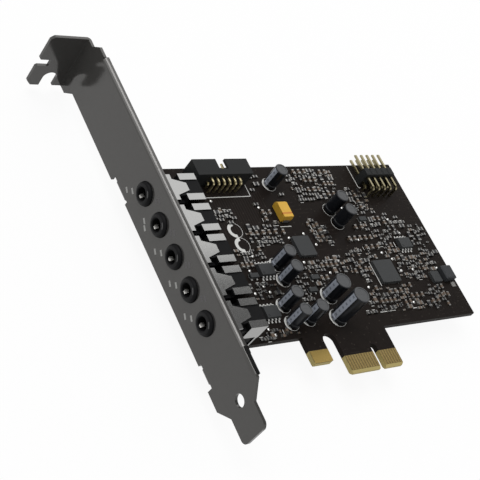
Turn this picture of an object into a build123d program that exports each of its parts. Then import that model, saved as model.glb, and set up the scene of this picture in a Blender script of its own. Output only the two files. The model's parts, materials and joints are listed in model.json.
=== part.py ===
from build123d import *
import os

os.makedirs("parts", exist_ok=True)

# Frame: origin at the middle of the key slot on the lower edge of the card's connector,
# X away from the bracket, Y towards the bracket's tab, Z out of the component face.

# Bracket sheet and folds
sheet = 0.86
fold_inside = 0.3
fold_outside = fold_inside + sheet
fold_leg = 2.0
face_x = -58.58
inner_x = face_x + sheet
edge_low_z = -3.29
edge_high_z = 15.13

# Bracket tab with its screw slot and corner notch
tab_y = 105.08
tab_reach = 11.43
tab_low_z = -6.46
tab_high_z = 12.59
tab_corner = 1.5
tab_far_corner = 1.0
slot_from_face = 5.07
slot_radius = 2.15
slot_depth = 5.2
notch_depth = 3.75
notch_low_z = 1.3
notch_high_z = 3.7
notch_lead = 0.45

# Bracket outline below the tab
shoulder_low = (2.76, 5.9)
shoulder_high = (2.6, 5.15)
flange_top_y = 96.4
flange_bottom_y = -2.5
flange_depth = 1.6
foot_low_y = (-2.6, -6.6)
foot_high_y = (-3.3, -7.3)
tongue_z = (0.49, 10.56)
tongue_end_y = -14.13
tongue_round = 1.7
foot_hole_at = (-4.6, 6.1)
foot_hole_radius = 1.75

# Board
board_thick = 1.57
board_gap = 0.42
board_left = inner_x + board_gap
board_right = 48.2
board_top = 69.85
board_low = 12.5

# Edge connector
tongue_left = -12.05
tongue_right = 8.05
key_radius = 1.1
key_top_y = 7.6
wide_slot_left = -16.75
wide_slot_top = 12.8
hook_left = -23.6
hook_end_y = 4.4
connector_corner = 0.5
bevel_run = 0.8
bevel_drop = 0.38
finger_pitch = 1.0
finger_width = 0.7
finger_first = 1.5
fingers_long_side = 11
fingers_short_side = 7
finger_top_y = 5.25
gold_thick = 0.05
hook_gold_top = 8.2
hook_gold_inset = 0.1

# Audio jacks
jack_first_y = 56.72
jack_pitch = 9.966
jack_count = 5
jack_ys = [jack_first_y - jack_pitch * k for k in range(jack_count)]
jack_z = 6.76
nozzle_radius = 3.3
nozzle_step = 0.35
nozzle_proud = 1.2
nozzle_mouth = 2.2
nozzle_swell = 0.15
nozzle_clearance = 0.1
bore_radius = 1.8
bore_depth = 14.9
bore_mouth = 0.2
jack_half = 4.05
jack_height = 9.15
jack_length = 16.95
jack_end_x = face_x + jack_length
jack_wall_gap = 0.05
lobe_from = 8.25
lobe_to = 10.75
lobe_inner = 2.6
lobe_z = 7.65

# Plated front plate and contact strips on each jack
strip = 0.3
plate_half = 4.15
plate_wide_to = 8.25
plate_neck = 2.6
plate_end_half = 1.2
plate_end = 12.4
contact_from = 10.85
contact_to = 16.5
contact_inner = 2.27
contact_side_z = 4.25
leg_from = 15.45
leg_to = 16.05
lead_below = 0.9

# Lugs of the bracket that carry the board, the lower one set off from the last jack
lug_top_z = -board_thick
lug_low_z = lug_top_z - sheet
lug_reach = 9.5
upper_lug = (61.3, 67.0)
lower_lug_width = 4.0
lower_lug_gap = 4.206
lower_lug_high = jack_ys[-1] - jack_half - lower_lug_gap
lug_spans = (upper_lug, (lower_lug_high - lower_lug_width, lower_lug_high))
upper_reliefs = (1.3, 2.1)
lower_reliefs = (1.5, 1.4)
lug_reliefs = (
    (lug_spans[0][1], lug_spans[0][1] + upper_reliefs[1]),
    (lug_spans[0][0] - upper_reliefs[0], lug_spans[0][0]),
    (lug_spans[1][1], lug_spans[1][1] + lower_reliefs[1]),
    (lug_spans[1][0] - lower_reliefs[0], lug_spans[1][0]),
)
relief_z = -1.3
lug_corner = 1.0

# Foot of the board on the lower lug
foot_below_lug = 1.1
foot_slope_above_lug = 2.0
foot_width = 14.6
foot_end_width = 11.3
foot_right = board_left + foot_width
foot_slope_y = lug_spans[1][1] + foot_slope_above_lug
foot_end = (board_left + foot_end_width, lug_spans[1][0] - foot_below_lug)

# Screws that hold the board to the lugs
screw_from_sheet = 4.32
screw_x = inner_x + screw_from_sheet
screw_ys = tuple((low + high) / 2 for low, high in lug_spans)
screw_radius = 1.35
screw_head_radius = 2.4
screw_head_height = 1.7
screw_below_lug = 0.9
screw_slot = 0.7
screw_slot_depth = 0.8
screw_board_clearance = 0.25

# Shrouded header with its two pin rows
shroud_x =(-36.4, -16.6)
shroud_y = (63.6, 69.0)
shroud_z = (0.3, 5.3)
shroud_wall = 0.85
shroud_back = 1.1
shroud_key = (-28.0, -24.75)
shroud_key_depth = 3.45
shroud_feet_inset = 1.2
box_pin = 0.5
box_pitch = 2.0
box_columns = 6
box_middle_x = (shroud_x[0] + shroud_x[1]) / 2
box_tip_y = 68.2
box_rows = ((2.0, 62.75), (4.0, 61.2))

# Open pin header with two rows
header_first_x = 30.0
header_pitch = 2.54
header_columns = 5
header_pin = 0.64
header_tip_y = 70.65
header_rows = ((1.56, 60.0), (4.1, 57.46))
header_base_y = (62.0, 64.6)
header_base_z = (0.29, 5.37)
header_trim = 0.3
header_notch = 0.5
pin_bend = 0.45

# Radial capacitors: sleeve radius, height, lead spacing
small_can = (2.05, 7.5, 1.5)
large_can = (2.55, 7.8, 2.0)
tall_can = (2.55, 12.0, 2.0)
can_stand = 0.25
can_lead_radius = 0.25
can_crimp_z = 1.5
can_crimp = 0.22
can_rim = 0.3
can_dish = 0.12
cans = {
    "capacitor_upper_left": (small_can, -7.3, 63.3),
    "capacitor_upper_right": (small_can, 11.2, 53.2),
    "capacitor_middle_right": (small_can, 11.7, 48.3),
    "capacitor_row_a": (small_can, -19.8, 35.8),
    "capacitor_row_b": (small_can, -20.1, 30.8),
    "capacitor_row_c": (small_can, -24.6, 22.8),
    "capacitor_row_d": (small_can, -24.7, 17.2),
    "capacitor_row_e": (small_can, -18.2, 17.8),
    "capacitor_large": (large_can, -6.6, 24.3),
    "capacitor_tall": (tall_can, -7.5, 17.0),
}

# Moulded chip capacitor
tantalum_at = (-8.65, 52.75)
tantalum_size = (3.6, 6.0, 2.6)
tantalum_seam_z = 1.3
tantalum_draft = 0.22
tantalum_bar_inset = 0.7
terminal_width = 2.2
terminal_thick = 0.12

# Eight-lead packages
so_body = (4.9, 3.9, 1.45)
so_stand = 0.12
so_span = 6.0
so_pitch = 1.27
so_lead = 0.42
lead_thick = 0.2
lead_height = 0.75
so_foot = 0.65
so_draft = 0.14
so_chips = {
    "amplifier_chip_upper": (-25.2, 34.1),
    "amplifier_chip_lower": (-30.6, 20.9),
    "memory_chip": (34.0, 39.0),
}

# Leadless controller, converter and regulator chips: middle and size
leadless_chips = {
    "controller_chip": ((20.2, 29.9), (7.9, 7.9, 0.95)),
    "converter_chip": ((-6.75, 40.85), (6.5, 6.9, 0.95)),
    "regulator_chip": ((39.7, 26.2), (3.8, 4.0, 0.95)),
}
leadless_seam_z = 0.4
leadless_ledge = 0.08
leadless_corner = 0.25

# Three-lead packages
small_body = (2.9, 1.4, 1.0)
small_lead = 0.4
small_lead_out = 0.5
small_lead_pitch = 0.95
small_chips = ((-8.9, 30.3), (-11.9, 26.4), (-30.1, 32.7), (22.1, 48.9))

# Moulded inductor at the far edge
choke_at = (44.9, 26.8)
choke_size = (4.4, 4.7, 2.1)
choke_edge = 0.35
choke_foot = 0.25

# Small chip parts
chip_long = 1.5
chip_short = 0.8
chip_height = 0.5
chip_keep = 0.3
chip_end_pitch = 2.3
chip_side_pitch = 2.1


def bent_strip(outer, inner):
    """Face of a strip folded once, from its outer and inner corner lines."""
    with BuildSketch() as section:
        with BuildLine():
            far = FilletPolyline(*outer, radius=fold_outside)
            near = FilletPolyline(*inner, radius=fold_inside)
            Line(far @ 0, near @ 0)
            Line(far @ 1, near @ 1)
        make_face()
    return section.sketch


def gull_wing(reach, half_span, foot):
    """Side view of a chip lead: in the body, over the shoulder and out on the board."""
    shoulder = half_span - foot
    return [
        (reach, lead_height - lead_thick),
        (shoulder - lead_thick, lead_height - lead_thick),
        (shoulder, 0),
        (half_span, 0),
        (half_span, lead_thick),
        (shoulder + lead_thick, lead_thick),
        (shoulder, lead_height),
        (reach, lead_height),
    ]


def bent_pin(tip_y, row_z, foot_y, half):
    """Side view of a right-angle pin, from its tip to the end below the board."""
    end_z = -board_thick - lead_below
    tip = half * 0.6
    with BuildSketch() as section:
        with BuildLine():
            far = FilletPolyline(
                (tip_y - tip, row_z + half), (foot_y - half, row_z + half), (foot_y - half, end_z),
                radius=pin_bend + 2 * half,
            )
            near = FilletPolyline(
                (tip_y - tip, row_z - half), (foot_y + half, row_z - half), (foot_y + half, end_z),
                radius=pin_bend,
            )
            Polyline(far @ 0, (tip_y, row_z + half - tip), (tip_y, row_z - half + tip), near @ 0)
            Line(far @ 1, near @ 1)
        make_face()
    return section.sketch


# Bracket
with BuildPart() as bracket:
    with BuildSketch(Plane.YZ.offset(face_x)) as bracket_face:
        with BuildLine():
            Polyline(
                (tab_y - fold_inside, tab_low_z),
                (tab_y - shoulder_low[0], tab_low_z),
                (tab_y - shoulder_low[1], edge_low_z),
                (lug_reliefs[0][1], edge_low_z),
                (lug_reliefs[0][1], lug_low_z),
                (lug_reliefs[3][0], lug_low_z),
                (lug_reliefs[3][0], edge_low_z),
                (foot_low_y[0], edge_low_z),
                (foot_low_y[1], tongue_z[0]),
                (tongue_end_y, tongue_z[0]),
                (tongue_end_y, tongue_z[1]),
                (foot_high_y[1], tongue_z[1]),
                (foot_high_y[0], edge_high_z),
                (flange_bottom_y, edge_high_z),
                (flange_bottom_y, edge_high_z - fold_outside),
                (flange_top_y, edge_high_z - fold_outside),
                (flange_top_y, edge_high_z),
                (tab_y - shoulder_high[1], edge_high_z),
                (tab_y - shoulder_high[0], tab_high_z),
                (tab_y - fold_inside, tab_high_z),
                close=True,
            )
        make_face()
        fillet(bracket_face.vertices().sort_by(Axis.X)[:2], tongue_round)
        for low, high in lug_reliefs:
            with Locations(((low + high) / 2, (edge_low_z + relief_z) / 2)):
                Rectangle(high - low, relief_z - edge_low_z, mode=Mode.SUBTRACT)
        for low, high in lug_spans:
            with Locations(((low + high) / 2, lug_low_z + fold_outside / 2)):
                Rectangle(high - low, fold_outside, mode=Mode.SUBTRACT)
        with Locations(*[(y, jack_z) for y in jack_ys]):
            Circle(nozzle_radius + nozzle_clearance, mode=Mode.SUBTRACT)
        with Locations(foot_hole_at):
            Circle(foot_hole_radius, mode=Mode.SUBTRACT)
    extrude(amount=sheet)
    tab_fold = bent_strip(
        ((inner_x, tab_y - fold_leg), (inner_x, tab_y + sheet), (face_x - fold_leg, tab_y + sheet)),
        ((face_x, tab_y - fold_leg), (face_x, tab_y), (face_x - fold_leg, tab_y)),
    )
    extrude(Plane.XY.offset(tab_low_z) * tab_fold, amount=tab_high_z - tab_low_z)
    with BuildSketch(Plane.XZ.offset(-tab_y)) as tab_face:
        with BuildLine():
            Polyline(
                (face_x - fold_inside, tab_low_z),
                (face_x - tab_reach + tab_corner, tab_low_z),
                (face_x - tab_reach, tab_low_z + tab_corner),
                (face_x - tab_reach, notch_low_z - notch_lead),
                (face_x - tab_reach + notch_lead, notch_low_z),
                (face_x - tab_reach + notch_depth, notch_low_z),
                (face_x - tab_reach + notch_depth, notch_high_z),
                (face_x - tab_reach + notch_lead, notch_high_z),
                (face_x - tab_reach, notch_high_z + notch_lead),
                (face_x - tab_reach, tab_high_z - tab_far_corner),
                (face_x - tab_reach + tab_far_corner, tab_high_z),
                (face_x - fold_inside, tab_high_z),
                close=True,
            )
        make_face()
    extrude(amount=-sheet)
    slot_middle_z = tab_low_z + slot_depth - slot_radius
    with BuildSketch(Plane.XZ.offset(-tab_y)) as screw_slot_face:
        with Locations((face_x - slot_from_face, slot_middle_z)):
            Circle(slot_radius)
        with Locations((face_x - slot_from_face, (tab_low_z + slot_middle_z) / 2)):
            Rectangle(2 * slot_radius, slot_middle_z - tab_low_z)
    extrude(amount=-sheet, mode=Mode.SUBTRACT)
    flange_fold = bent_strip(
        ((face_x, edge_high_z - fold_leg), (face_x, edge_high_z), (face_x + flange_depth, edge_high_z)),
        (
            (inner_x, edge_high_z - fold_leg),
            (inner_x, edge_high_z - sheet),
            (face_x + flange_depth, edge_high_z - sheet),
        ),
    )
    extrude(Plane.XZ.offset(-flange_bottom_y) * flange_fold, amount=flange_bottom_y - flange_top_y)
    lug_fold = bent_strip(
        ((face_x, lug_low_z + fold_leg), (face_x, lug_low_z), (face_x + lug_reach, lug_low_z)),
        ((inner_x, lug_low_z + fold_leg), (inner_x, lug_top_z), (face_x + lug_reach, lug_top_z)),
    )
    for low, high in lug_spans:
        extrude(Plane.XZ.offset(-low) * lug_fold, amount=low - high)
    lug_tips = bracket.edges().filter_by(Axis.Z).filter_by_position(
        Axis.X, face_x + lug_reach - 0.01, face_x + lug_reach + 0.01
    )
    chamfer(lug_tips, lug_corner)
    with BuildSketch(Plane.XY.offset(lug_low_z)):
        with Locations(*[(screw_x, y) for y in screw_ys]):
            Circle(screw_radius)
    extrude(amount=sheet, mode=Mode.SUBTRACT)
bracket.part.label = "bracket"
export_step(bracket.part, "parts/bracket.step")

# Places where pins and leads go through the board
box_columns_x = [box_middle_x + box_pitch * (k - (box_columns - 1) / 2) for k in range(box_columns)]
box_feet = [(x, row[1]) for x in box_columns_x for row in box_rows]
header_columns_x = [header_first_x + header_pitch * k for k in range(header_columns)]
header_feet = [(x, row[1]) for x in header_columns_x for row in header_rows]
leg_x = face_x + (leg_from + leg_to) / 2
leg_places = [(leg_x, y + side * (jack_half + strip / 2)) for y in jack_ys for side in (-1, 1)]
can_leads = [
    (x + side * size[2] / 2, y) for size, x, y in cans.values() for side in (-1, 1)
]

# Board
with BuildPart() as board:
    with BuildSketch() as board_face:
        slot_half = (tongue_left - wide_slot_left) / 2
        with BuildLine():
            Polyline(
                (tongue_left, wide_slot_top - slot_half),
                (tongue_left, connector_corner),
                (tongue_left + connector_corner, 0),
                (tongue_right - connector_corner, 0),
                (tongue_right, connector_corner),
                (tongue_right, board_low),
                (board_right, board_low),
                (board_right, board_top),
                (board_left, board_top),
                (board_left, foot_end[1]),
                foot_end,
                (foot_right, foot_slope_y),
                (foot_right, board_low),
                (hook_left, board_low),
                (hook_left, hook_end_y + connector_corner),
                (hook_left + connector_corner, hook_end_y),
                (wide_slot_left - connector_corner, hook_end_y),
                (wide_slot_left, hook_end_y + connector_corner),
                (wide_slot_left, wide_slot_top - slot_half),
            )
            ThreePointArc(
                (wide_slot_left, wide_slot_top - slot_half),
                (wide_slot_left + slot_half, wide_slot_top),
                (tongue_left, wide_slot_top - slot_half),
            )
        make_face()
        with Locations((0, key_top_y - key_radius)):
            Circle(key_radius, mode=Mode.SUBTRACT)
        with Locations((0, (key_top_y - key_radius) / 2)):
            Rectangle(2 * key_radius, key_top_y - key_radius, mode=Mode.SUBTRACT)
        with Locations(*[(screw_x, y) for y in screw_ys]):
            Circle(screw_radius + screw_board_clearance, mode=Mode.SUBTRACT)
        with Locations(*box_feet):
            Rectangle(box_pin, box_pin, mode=Mode.SUBTRACT)
        with Locations(*header_feet):
            Rectangle(header_pin, header_pin, mode=Mode.SUBTRACT)
        with Locations(*leg_places):
            Rectangle(leg_to - leg_from, strip, mode=Mode.SUBTRACT)
        with Locations(*can_leads):
            Circle(can_lead_radius, mode=Mode.SUBTRACT)
    extrude(amount=-board_thick)
    with BuildSketch(Plane.YZ.offset(tongue_left)):
        with BuildLine():
            Polyline((0, 0), (bevel_run, 0), (0, -bevel_drop), close=True)
        make_face()
        with BuildLine():
            Polyline(
                (0, -board_thick), (bevel_run, -board_thick), (0, bevel_drop - board_thick), close=True
            )
        make_face()
    extrude(amount=tongue_right - tongue_left, mode=Mode.SUBTRACT)
board.part.label = "board"
export_step(board.part, "parts/board.step")

# Gold fingers of the edge connector, on both faces
finger_xs = [-finger_first - finger_pitch * k for k in range(fingers_long_side)]
finger_xs += [finger_first + finger_pitch * k for k in range(fingers_short_side)]
with BuildPart() as edge_fingers:
    for level in (0, -board_thick - gold_thick):
        with BuildSketch(Plane.XY.offset(level)):
            with Locations(*[(x, (bevel_run + finger_top_y) / 2) for x in finger_xs]):
                Rectangle(finger_width, finger_top_y - bevel_run)
        extrude(amount=gold_thick)
edge_fingers.part.label = "edge_fingers"
export_step(edge_fingers.part, "parts/edge_fingers.step")

# Gold pads of the hook beside the connector, on both faces
with BuildPart() as hook_pads:
    hook_low = hook_end_y + hook_gold_inset
    for level in (0, -board_thick - gold_thick):
        with BuildSketch(Plane.XY.offset(level)):
            with Locations(((hook_left + wide_slot_left) / 2, (hook_low + hook_gold_top) / 2)):
                Rectangle(wide_slot_left - hook_left - 2 * hook_gold_inset, hook_gold_top - hook_low)
        extrude(amount=gold_thick)
hook_pads.part.label = "hook_pads"
export_step(hook_pads.part, "parts/hook_pads.step")

# Screws through the board into the lugs
with BuildPart() as bracket_screws:
    with BuildSketch(Plane.XY.offset(lug_low_z - screw_below_lug)):
        with Locations(*[(screw_x, y) for y in screw_ys]):
            Circle(screw_radius)
    extrude(amount=screw_below_lug - lug_low_z)
    with BuildSketch():
        with Locations(*[(screw_x, y) for y in screw_ys]):
            Circle(screw_head_radius)
    extrude(amount=screw_head_height)
    with BuildSketch(Plane.XY.offset(screw_head_height)):
        with Locations(*[(screw_x, y) for y in screw_ys]):
            Rectangle(2 * screw_radius, screw_slot)
            Rectangle(screw_slot, 2 * screw_radius)
    extrude(amount=-screw_slot_depth, mode=Mode.SUBTRACT)
bracket_screws.part.label = "bracket_screws"
export_step(bracket_screws.part, "parts/bracket_screws.step")

# Audio jacks: housing with nozzle and bore, front plate, pair of contact strips
for number, jack_y in enumerate(jack_ys, start=1):
    with BuildPart() as jack_housing:
        with BuildSketch() as jack_foot:
            with Locations(((inner_x + jack_wall_gap + jack_end_x) / 2, jack_y)):
                Rectangle(jack_end_x - inner_x - jack_wall_gap, 2 * jack_half)
        extrude(amount=jack_height)
        with BuildSketch(Plane.XY.offset(lobe_z)) as jack_lobes:
            for side in (-1, 1):
                with Locations((face_x + (lobe_from + lobe_to) / 2, jack_y + side * (lobe_inner + jack_half) / 2)):
                    Rectangle(lobe_to - lobe_from, jack_half - lobe_inner)
        extrude(amount=jack_height - lobe_z, mode=Mode.SUBTRACT)
        with BuildSketch(Plane.XZ.offset(-jack_y)) as nozzle_side:
            with BuildLine():
                mouth_x = face_x - nozzle_proud
                step_x = face_x - nozzle_step
                Polyline(
                    (step_x, jack_z + nozzle_radius),
                    (inner_x + jack_wall_gap, jack_z + nozzle_radius),
                    (inner_x + jack_wall_gap, jack_z),
                    (mouth_x, jack_z),
                    (mouth_x, jack_z + nozzle_mouth),
                )
                ThreePointArc(
                    (mouth_x, jack_z + nozzle_mouth),
                    (
                        (mouth_x + step_x) / 2 - nozzle_swell,
                        jack_z + (nozzle_mouth + nozzle_radius) / 2 + nozzle_swell,
                    ),
                    (step_x, jack_z + nozzle_radius),
                )
            make_face()
        revolve(axis=Axis((face_x, jack_y, jack_z), (1, 0, 0)))
        with BuildSketch(Plane.YZ.offset(face_x - nozzle_proud)) as bore_face:
            with Locations((jack_y, jack_z)):
                Circle(bore_radius)
        extrude(amount=bore_depth, mode=Mode.SUBTRACT)
        bore_rim = jack_housing.edges().filter_by(GeomType.CIRCLE).group_by(Axis.X)[0].sort_by(SortBy.RADIUS)[0]
        chamfer(bore_rim, bore_mouth)
    jack_housing.part.label = f"jack_{number}_housing"
    export_step(jack_housing.part, f"parts/jack_{number}_housing.step")

    with BuildPart() as jack_plate:
        with BuildSketch(Plane.XY.offset(jack_height)):
            with BuildLine():
                Polyline(
                    (inner_x + jack_wall_gap, jack_y - plate_half),
                    (face_x + plate_wide_to, jack_y - plate_half),
                    (face_x + plate_wide_to, jack_y - plate_neck),
                    (face_x + plate_end, jack_y - plate_end_half),
                    (face_x + plate_end, jack_y + plate_end_half),
                    (face_x + plate_wide_to, jack_y + plate_neck),
                    (face_x + plate_wide_to, jack_y + plate_half),
                    (inner_x + jack_wall_gap, jack_y + plate_half),
                    close=True,
                )
            make_face()
        extrude(amount=strip)
    jack_plate.part.label = f"jack_{number}_plate"
    export_step(jack_plate.part, f"parts/jack_{number}_plate.step")

    with BuildPart() as jack_contacts:
        for side in (-1, 1):
            with BuildSketch(Plane.XY.offset(jack_height)):
                with Locations(
                    (
                        face_x + (contact_from + contact_to) / 2,
                        jack_y + side * (contact_inner + jack_half + strip) / 2,
                    )
                ):
                    Rectangle(contact_to - contact_from, jack_half + strip - contact_inner)
            extrude(amount=strip)
            with BuildSketch(Plane.XZ.offset(-jack_y - side * jack_half)):
                with BuildLine():
                    Polyline(
                        (face_x + contact_from, jack_height + strip),
                        (face_x + contact_to, jack_height + strip),
                        (face_x + contact_to, contact_side_z),
                        (face_x + leg_to, contact_side_z - leg_to + leg_from),
                        (face_x + leg_to, -board_thick - lead_below),
                        (face_x + leg_from, -board_thick - lead_below),
                        (face_x + leg_from, contact_side_z),
                        (face_x + contact_from, contact_side_z),
                        close=True,
                    )
                make_face()
            extrude(amount=-side * strip)
    jack_contacts.part.label = f"jack_{number}_contacts"
    export_step(jack_contacts.part, f"parts/jack_{number}_contacts.step")

# Shrouded header
with BuildPart() as box_header_shroud:
    shroud_middle = ((shroud_x[0] + shroud_x[1]) / 2, (shroud_z[0] + shroud_z[1]) / 2)
    with BuildSketch(Plane.XZ.offset(-shroud_y[0])):
        with Locations(shroud_middle):
            Rectangle(shroud_x[1] - shroud_x[0], shroud_z[1] - shroud_z[0])
    extrude(amount=shroud_y[0] - shroud_y[1])
    with BuildSketch(Plane.XZ.offset(-shroud_y[0] - shroud_back)):
        with Locations(shroud_middle):
            Rectangle(
                shroud_x[1] - shroud_x[0] - 2 * shroud_wall, shroud_z[1] - shroud_z[0] - 2 * shroud_wall
            )
    extrude(amount=shroud_y[0] + shroud_back - shroud_y[1], mode=Mode.SUBTRACT)
    with BuildSketch(Plane.XY.offset(shroud_z[1])):
        with Locations(((shroud_key[0] + shroud_key[1]) / 2, shroud_y[1] - shroud_key_depth / 2)):
            Rectangle(shroud_key[1] - shroud_key[0], shroud_key_depth)
    extrude(amount=-shroud_wall, mode=Mode.SUBTRACT)
    with BuildSketch(Plane.XZ.offset(-shroud_y[0])):
        with Locations(*[(x, row[0]) for x in box_columns_x for row in box_rows]):
            Rectangle(box_pin, box_pin)
    extrude(amount=-shroud_back, mode=Mode.SUBTRACT)
    with BuildSketch():
        for x in (shroud_x[0] + shroud_feet_inset, shroud_x[1] - shroud_feet_inset):
            with Locations((x, (shroud_y[0] + shroud_y[1]) / 2)):
                Rectangle(shroud_feet_inset, shroud_y[1] - shroud_y[0] - shroud_back)
    extrude(amount=shroud_z[0])
box_header_shroud.part.label = "box_header_shroud"
export_step(box_header_shroud.part, "parts/box_header_shroud.step")

with BuildPart() as box_header_pins:
    for row_z, foot_y in box_rows:
        pin_side = bent_pin(box_tip_y, row_z, foot_y, box_pin / 2)
        for x in box_columns_x:
            extrude(Plane.YZ.offset(x - box_pin / 2) * pin_side, amount=box_pin)
box_header_pins.part.label = "box_header_pins"
export_step(box_header_pins.part, "parts/box_header_pins.step")

# Open header
with BuildPart() as open_header_base:
    header_middle_x = header_first_x + header_pitch * (header_columns - 1) / 2
    with BuildSketch(Plane.XZ.offset(-header_base_y[0])):
        with Locations((header_middle_x, (header_base_z[0] + header_base_z[1]) / 2)):
            Rectangle(
                header_pitch * header_columns - 2 * header_trim, header_base_z[1] - header_base_z[0]
            )
        for x in header_columns_x[1:]:
            with Locations(*[(x - header_pitch / 2, z) for z in header_base_z]):
                Rectangle(header_notch, header_notch, rotation=45, mode=Mode.SUBTRACT)
        with Locations(*[(x, row[0]) for x in header_columns_x for row in header_rows]):
            Rectangle(header_pin, header_pin, mode=Mode.SUBTRACT)
    extrude(amount=header_base_y[0] - header_base_y[1])
open_header_base.part.label = "open_header_base"
export_step(open_header_base.part, "parts/open_header_base.step")

with BuildPart() as open_header_pins:
    for row_z, foot_y in header_rows:
        pin_side = bent_pin(header_tip_y, row_z, foot_y, header_pin / 2)
        for x in header_columns_x:
            extrude(Plane.YZ.offset(x - header_pin / 2) * pin_side, amount=header_pin)
open_header_pins.part.label = "open_header_pins"
export_step(open_header_pins.part, "parts/open_header_pins.step")

# Radial capacitors: sealed can with crimp groove and two leads
for can_name, ((can_radius, can_height, can_spacing), can_x, can_y) in cans.items():
    with BuildPart() as capacitor:
        with BuildSketch(Plane.XZ.offset(-can_y)):
            with BuildLine():
                Polyline(
                    (can_x, can_stand),
                    (can_x + can_radius - can_rim, can_stand),
                    (can_x + can_radius, can_stand + can_rim),
                    (can_x + can_radius, can_crimp_z - can_crimp),
                    (can_x + can_radius - can_crimp, can_crimp_z),
                    (can_x + can_radius, can_crimp_z + can_crimp),
                    (can_x + can_radius, can_height - can_rim),
                    (can_x + can_radius - can_rim, can_height),
                    (can_x + can_radius - 2 * can_rim, can_height),
                    (can_x + can_radius - 2 * can_rim, can_height - can_dish),
                    (can_x, can_height - can_dish),
                    close=True,
                )
            make_face()
        revolve(axis=Axis((can_x, can_y, 0), (0, 0, 1)))
        with BuildSketch(Plane.XY.offset(can_stand)):
            with Locations((can_x - can_spacing / 2, can_y), (can_x + can_spacing / 2, can_y)):
                Circle(can_lead_radius)
        extrude(amount=-can_stand - board_thick - lead_below)
    capacitor.part.label = can_name
    export_step(capacitor.part, f"parts/{can_name}.step")

# Moulded chip capacitor with its two terminals
with BuildPart() as chip_tantalum:
    half_x = tantalum_size[0] / 2
    half_y = tantalum_size[1] / 2
    with BuildSketch(Plane.YZ.offset(tantalum_at[0] - half_x)):
        with BuildLine():
            Polyline(
                (tantalum_at[1] - half_y + tantalum_draft, terminal_thick),
                (tantalum_at[1] - half_y, tantalum_seam_z),
                (tantalum_at[1] - half_y + tantalum_draft, tantalum_size[2]),
                (tantalum_at[1] + half_y - tantalum_bar_inset, tantalum_size[2]),
                (tantalum_at[1] + half_y, tantalum_size[2] - tantalum_bar_inset),
                (tantalum_at[1] + half_y, tantalum_seam_z),
                (tantalum_at[1] + half_y - tantalum_draft, terminal_thick),
                close=True,
            )
        make_face()
    extrude(amount=tantalum_size[0])
    with BuildSketch(Plane.XY):
        for side in (-1, 1):
            with Locations((tantalum_at[0], tantalum_at[1] + side * (half_y - terminal_width / 4))):
                Rectangle(terminal_width, terminal_width / 2 + 2 * terminal_thick)
    extrude(amount=terminal_thick)
    with BuildSketch(Plane.XY):
        for side in (-1, 1):
            with Locations((tantalum_at[0], tantalum_at[1] + side * (half_y - terminal_thick / 2))):
                Rectangle(terminal_width, 3 * terminal_thick)
    extrude(amount=tantalum_seam_z - 2 * terminal_thick)
chip_tantalum.part.label = "chip_tantalum"
export_step(chip_tantalum.part, "parts/chip_tantalum.step")

# Eight-lead chips
for chip_name, (chip_x, chip_y) in so_chips.items():
    with BuildPart() as so_chip:
        with BuildSketch(Plane.YZ.offset(chip_x - so_body[0] / 2)):
            with BuildLine():
                Polyline(
                    (chip_y - so_body[1] / 2 + so_draft, so_stand),
                    (chip_y - so_body[1] / 2, lead_height),
                    (chip_y - so_body[1] / 2 + so_draft, so_body[2]),
                    (chip_y + so_body[1] / 2 - 3 * so_draft, so_body[2]),
                    (chip_y + so_body[1] / 2, so_body[2] - 3 * so_draft),
                    (chip_y + so_body[1] / 2, lead_height),
                    (chip_y + so_body[1] / 2 - so_draft, so_stand),
                    close=True,
                )
            make_face()
        extrude(amount=so_body[0])
        wing = gull_wing(so_body[1] / 2 - so_draft, so_span / 2, so_foot)
        for column in range(4):
            with BuildSketch(Plane.YZ.offset(chip_x + so_pitch * (column - 1.5) - so_lead / 2)):
                for side in (-1, 1):
                    with BuildLine():
                        Polyline(*[(chip_y + side * y, z) for y, z in wing], close=True)
                    make_face()
            extrude(amount=so_lead)
    so_chip.part.label = chip_name
    export_step(so_chip.part, f"parts/{chip_name}.step")

# Leadless chips with a moulding seam round the side
for chip_name, (chip_at, chip_size) in leadless_chips.items():
    with BuildPart() as leadless_chip:
        with BuildSketch() as chip_base:
            with Locations(chip_at):
                Rectangle(chip_size[0], chip_size[1])
            chamfer(chip_base.vertices(), leadless_corner)
        extrude(amount=leadless_seam_z)
        with BuildSketch(Plane.XY.offset(leadless_seam_z)) as chip_top:
            with Locations(chip_at):
                Rectangle(chip_size[0] - 2 * leadless_ledge, chip_size[1] - 2 * leadless_ledge)
            chamfer(chip_top.vertices(), leadless_corner)
        extrude(amount=chip_size[2] - leadless_seam_z)
    leadless_chip.part.label = chip_name
    export_step(leadless_chip.part, f"parts/{chip_name}.step")

# Three-lead packages: moulded body with flat leads
with BuildPart() as transistor_chips:
    with BuildSketch(Plane.XY.offset(so_stand)):
        with Locations(*small_chips):
            Rectangle(small_body[0], small_body[1])
    extrude(amount=small_body[2] - so_stand)
    with BuildSketch():
        for chip_x, chip_y in small_chips:
            for lead_x, side in ((-small_lead_pitch, -1), (small_lead_pitch, -1), (0, 1)):
                with Locations((chip_x + lead_x, chip_y + side * small_body[1] / 2)):
                    Rectangle(small_lead, 2 * small_lead_out)
    extrude(amount=lead_thick)
transistor_chips.part.label = "transistor_chips"
export_step(transistor_chips.part, "parts/transistor_chips.step")

# Moulded inductor
with BuildPart() as inductor:
    with BuildSketch(Plane.XY.offset(choke_foot)):
        with Locations(choke_at):
            Rectangle(choke_size[0], choke_size[1])
    extrude(amount=choke_size[2] - choke_foot)
    chamfer(inductor.faces().sort_by(Axis.Z)[-1].edges(), choke_edge)
    with BuildSketch():
        for side in (-1, 1):
            with Locations((choke_at[0], choke_at[1] + side * (choke_size[1] / 2 - choke_edge))):
                Rectangle(choke_size[0] - 2 * choke_edge, 2 * choke_edge)
    extrude(amount=choke_foot)
inductor.part.label = "inductor"
export_step(inductor.part, "parts/inductor.step")

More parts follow.
